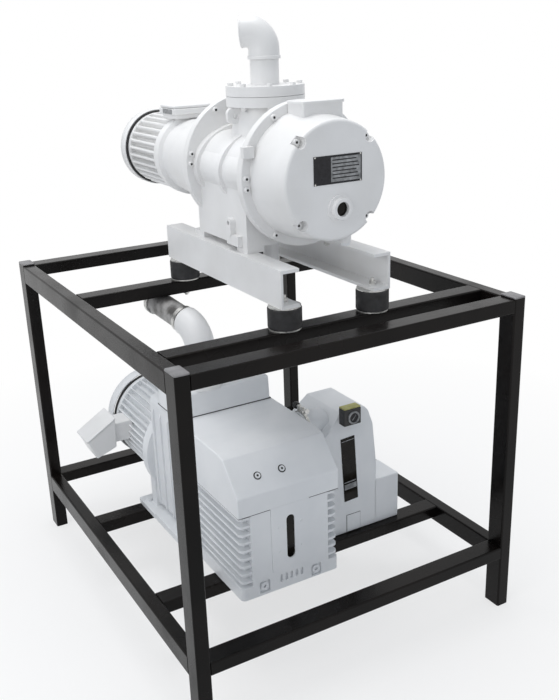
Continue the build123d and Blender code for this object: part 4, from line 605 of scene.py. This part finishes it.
# The backing pump's motor: larger, with thin close fins, in the pump's grey. Its cast foot runs
# on under the pump as a flat plate, and its terminal box leans out at the left under a sloped lid.
backing_x, backing_z = -0.143, 0.404
shape = finned_barrel(
    backing_x, backing_z, front=0.1865, rear=0.492, outer=0.158, core=0.136, bore=0.0925, shaft=0.0205,
    shield=0.018, fins=44, fin=0.0045,
)
shell = made("backing_motor_barrel", shape, grey_paint, bevel=0.0008)
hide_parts("backing_motor")
shape = fan_cowl(backing_x, backing_z, front=0.500, rear=0.562, radius=0.163, hub=0.022)
cowl = made("backing_motor_fan_cowl", shape, grey_paint)
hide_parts("backing_motor_cowl")
shape = cooling_fan(backing_x, backing_z, front=0.508, rear=0.546, radius=0.141, shaft=0.0195, blades=9)
fan = made("backing_cooling_fan", shape, black_plastic, body="backing_shaft")
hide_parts("backing_motor_fan")
# A dark ring of painted shade between the backing motor's fins and its cowl.
cowl_gap_shade("backing_cowl_gap_shade", backing_x, backing_z, front=0.492, rear=0.501, inner=0.132, outer=0.158)
shape = bmesh.new()
slab(shape, rectangle(-0.328, 0.042, -0.090, 0.0955), 0.2095, 0.0225, "z")
made("bell_foot_plate", shape, grey_paint, bevel=0.002)

box_inner, box_middle, box_half = backing_x - 0.202, 0.405, 0.052
shape = bmesh.new()
slab(shape, rectangle(box_middle - 0.040, box_middle + 0.040, backing_z - 0.018, backing_z + 0.052),
     backing_x - 0.218, 0.082, "x")
slab(shape, [
    (box_inner, backing_z + 0.073), (box_inner - 0.104, backing_z + 0.009),
    (box_inner - 0.076, backing_z - 0.057), (box_inner - 0.004, backing_z - 0.030),
], box_middle - box_half, 2 * box_half, "y")
slab(shape, [
    (box_inner + 0.002, backing_z + 0.074), (box_inner - 0.106, backing_z + 0.008),
    (box_inner - 0.110, backing_z + 0.015), (box_inner - 0.002, backing_z + 0.081),
], box_middle - box_half - 0.003, 2 * box_half + 0.006, "y")
box = made("backing_motor_terminal_box", shape, white_paint, bevel=0.006)
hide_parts("backing_terminal_box")


# The exhaust filter: a cast housing beside the oil case, with a sloped front edge on top, a low
# box and short ribs at its right, and a boss on its shoulder that takes the exhaust joint.
filter_left, filter_right, filter_front, filter_rear = 0.060, 0.246, -0.320, -0.105
filter_foot, filter_top, draft = 0.2095, 0.614, 0.018
shape = bmesh.new()
slab(shape, [
    (filter_left, filter_foot), (filter_right + draft, filter_foot),
    (filter_right + draft, filter_foot + 0.211),
    (filter_right, filter_top - 0.012), (filter_right - 0.010, filter_top),
    (filter_left + 0.085, filter_top), (filter_left, filter_top - 0.067),
], filter_front, filter_rear - filter_front, "y")
edge_drop, edge_back = 0.050, 0.025
cut = bmesh.ops.bisect_plane(
    shape, geom=shape.verts[:] + shape.edges[:] + shape.faces[:], clear_outer=True,
    plane_co=(0, filter_front, filter_top - edge_drop), plane_no=(0, -edge_drop, edge_back),
)
rim = [edge for edge in cut["geom_cut"] if isinstance(edge, bmesh.types.BMEdge)]
bmesh.ops.contextual_create(shape, geom=rim)
box_right, box_depth, box_height = 0.350, 0.110, 0.156
slab(shape, rectangle(filter_right + 0.010, box_right, filter_front, filter_front + box_depth),
     filter_foot, box_height, "z")
rib_first, rib_pitch, rib_height = 0.166, 0.019, 0.007
rib_outline = rectangle(filter_right - 0.006, filter_right + 0.028, filter_rear - 0.185, filter_rear - 0.015)
for number in range(5):
    slab(shape, rib_outline, filter_foot + rib_first + rib_pitch * number, rib_height, "z")
housing = made("filter_casting", shape, grey_paint, bevel=0.005)
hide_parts("filter_housing")


# The filter's oil window: a tall strip of glass let into the casting, leaning a little, with pale
# level marks. Below it a square panel stands over the drain, with a dark strip of painted shade round it for
# the shade in its seam.
lean = Matrix.Rotation(radians(3.4), 2)
window_x, window_z = 0.161, 0.431


def leaning(half_width, low, high):
    """A rectangle placed from the window's middle, which leans with the window."""
    corners = [lean @ Vector(corner) for corner in rectangle(-half_width, half_width, low, high)]
    return [(window_x + a, window_z + b) for a, b in corners]


shape = bmesh.new()
slab(shape, leaning(0.0255, -0.109, 0.109), filter_front - 0.0012, 0.003, "y")
window = made("filter_glass", shape, oil_glass, bevel=0.0006)
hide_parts("filter_window")
shape = bmesh.new()
for low, high in ((-0.068, -0.050), (-0.045, -0.041), (0.098, 0.100)):
    slab(shape, leaning(0.0225, low, high), filter_front - 0.0018, 0.0007, "y")
made("filter_level_band", shape, plate_silver)
# A dark strip behind the panel's edge: painted shade for the shade in the seam.
shape = bmesh.new()
slab(shape, rectangle(0.149, 0.201, 0.2125, 0.272), filter_front - 0.0008, 0.0012, "y")
made("drain_panel_seam_shade", shape, painted_shade)
shape = bmesh.new()
slab(shape, rectangle(0.1502, 0.1998, 0.2137, 0.2708), filter_front - 0.0022, 0.0026, "y")
made("drain_panel", shape, grey_paint, bevel=0.0006)


# The exhaust joint between the hood and the filter: two pale flanges on a short pipe, drawn
# together by a clamp ring with a bright bolt and a black knob.
exhaust_y, exhaust_z, hood_side_x, boss_x = -0.240, 0.576, 0.0195, 0.054
shape = bmesh.new()
turned(shape, (hood_side_x, exhaust_y, exhaust_z), (1, 0, 0), [(0, 0.034), (0.047, 0.034)])
turned(shape, (hood_side_x, exhaust_y, exhaust_z), (1, 0, 0), [(0, 0.050), (0.004, 0.050)])
for along in (0.012, 0.026):
    turned(shape, (hood_side_x + along, exhaust_y, exhaust_z), (1, 0, 0), [
        (0, 0.044), (0.002, 0.046), (0.006, 0.046), (0.008, 0.044),
    ])
turned(shape, (boss_x, exhaust_y, exhaust_z), (1, 0, 0), [(0, 0.043), (0.060, 0.043)])
joint = made("exhaust_joint", shape, grey_paint, bevel=0.001)
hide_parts("exhaust_pipe")
clamp_x, ear_x, ear_thickness, ear_width = 0.0375, 0.0365, 0.006, 0.012
bolt_x, bolt_z = 0.0425, exhaust_z + 0.059
shape = bmesh.new()
turned(shape, (clamp_x, exhaust_y, exhaust_z), (1, 0, 0), [
    (0, 0.0465), (0, 0.050), (0.010, 0.050), (0.010, 0.0465),
], closed=True)
for ear_y in (exhaust_y + 0.010, exhaust_y - 0.012):
    slab(shape, rectangle(ear_y, ear_y + ear_thickness, exhaust_z + 0.046, exhaust_z + 0.066),
         ear_x, ear_width, "x")
turned(shape, (bolt_x, exhaust_y - 0.030, bolt_z), (0, 1, 0), [(0, 0.0045), (0.056, 0.0045)], steps=24)
turned(shape, (bolt_x, exhaust_y - 0.034, bolt_z), (0, 1, 0), [(0, 0.0085), (0.008, 0.0085)], steps=6)
clamp = made("exhaust_clamp_ring", shape, zinc, bevel=0.0006)
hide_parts("exhaust_clamp")
shape = bmesh.new()
turned(shape, (bolt_x, exhaust_y + 0.022, bolt_z), (0, 1, 0), [
    (0, 0.009), (0.004, 0.011), (0.014, 0.011), (0.018, 0.008),
], steps=32)
made("exhaust_clamp_knob", shape, black_plastic, bevel=0.001)


# The pressure gauge on the exhaust filter: a black moulded body with a pale dial ring on its
# front, a dark face and a short pointer, under an olive-yellow cap.
gauge_left, gauge_right, gauge_low, gauge_high = 0.124, 0.185, 0.592, 0.645
gauge_back, gauge_front = -0.3195, -0.350
shape = bmesh.new()
slab(shape, rectangle(gauge_left, gauge_right, gauge_low, gauge_high),
     gauge_front, gauge_back - gauge_front, "y")
gauge = made("gauge_body", shape, black_plastic, bevel=0.003)
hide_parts("filter_gauge")
olive, nodes, links, shader = material_named("olive_cap")
spots = mottled(nodes, links, shader, (0.34, 0.33, 0.10), (0.47, 0.45, 0.17), 60.0)
uneven(nodes, links, shader, spots, 0.4, 0.6, 90.0)
rough_skin(nodes, links, shader, spots, 600.0, 0.0003)
shape = bmesh.new()
slab(shape, rectangle(gauge_left + 0.001, gauge_right - 0.001, gauge_front + 0.001, gauge_back),
     gauge_high, 0.004, "z")
made("gauge_cap", shape, olive, bevel=0.0015)
dial = (0.157, gauge_front, 0.617)
shape = bmesh.new()
turned(shape, dial, (0, -1, 0), [
    (0, 0.020), (0.004, 0.020), (0.005, 0.018), (0.005, 0.0155), (0.001, 0.0145),
])
made("gauge_bezel", shape, plate_silver)
shape = bmesh.new()
turned(shape, dial, (0, -1, 0), [(0.001, 0.0143), (0.0022, 0.0143)], steps=48)
made("gauge_face", shape, plate_black)
shape = bmesh.new()
pointer = [(-0.007, -0.007), (-0.005, -0.009), (0.008, 0.007), (0.007, 0.008)]
slab(shape, [(dial[0] + a, dial[2] + b) for a, b in pointer], dial[1] - 0.003, 0.0008, "y")
made("gauge_pointer", shape, plate_silver)


# Small dark details of the oil case, all painted: dark strips of painted shadow for the gaps under
# the hood and the port block, and painted shade in the sockets of the hood's screws with a painted shadow
# ring round each.
case_left, case_right, case_front, case_rear = -0.303, 0.017, -0.4726, -0.0945
shade_strip_proud, shade_strip_height = 0.0006, 0.0030
# A dark strip of painted shadow, for the shadow gap under the hood.
shape = bmesh.new()
slab(shape, rectangle(case_left - shade_strip_proud, case_right + shade_strip_proud, case_front, case_rear),
     0.4752, shade_strip_height, "z")
made("hood_shadow_gap", shape, painted_shade)
# A dark strip of painted shadow, for the shadow gap under the port block.
shape = bmesh.new()
slab(shape, rectangle(-0.3004, 0.0144, -0.1024, 0.0564), 0.6281, shade_strip_height, "z")
made("port_block_shadow_gap", shape, painted_shade)
slope_rise, slope_run = 0.087, 0.079
slope = atan2(slope_rise, slope_run)
rise = (0, -sin(slope), cos(slope))
screw_y, slope_foot_z, up_slope = -0.440, 0.535, 0.034
rings, shape = bmesh.new(), bmesh.new()
for x in (-0.223, -0.146):
    seat = Vector((x, screw_y, slope_foot_z + up_slope * tan(slope)))
    # A dark ring of painted shadow round the screw head.
    turned(rings, seat, rise, [
        (-0.001, 0.0083), (-0.001, 0.0115), (0.0005, 0.0115), (0.0005, 0.0083),
    ], steps=40, closed=True)
    # A dark insert in the socket: painted shade for the shade inside the recess.
    turned(shape, seat, rise, [(0.0002, 0.0034), (0.0022, 0.0034)], steps=6)
made("hood_screw_shadow_rings", rings, painted_shade)
made("hood_screw_socket_shade", shape, painted_shade)
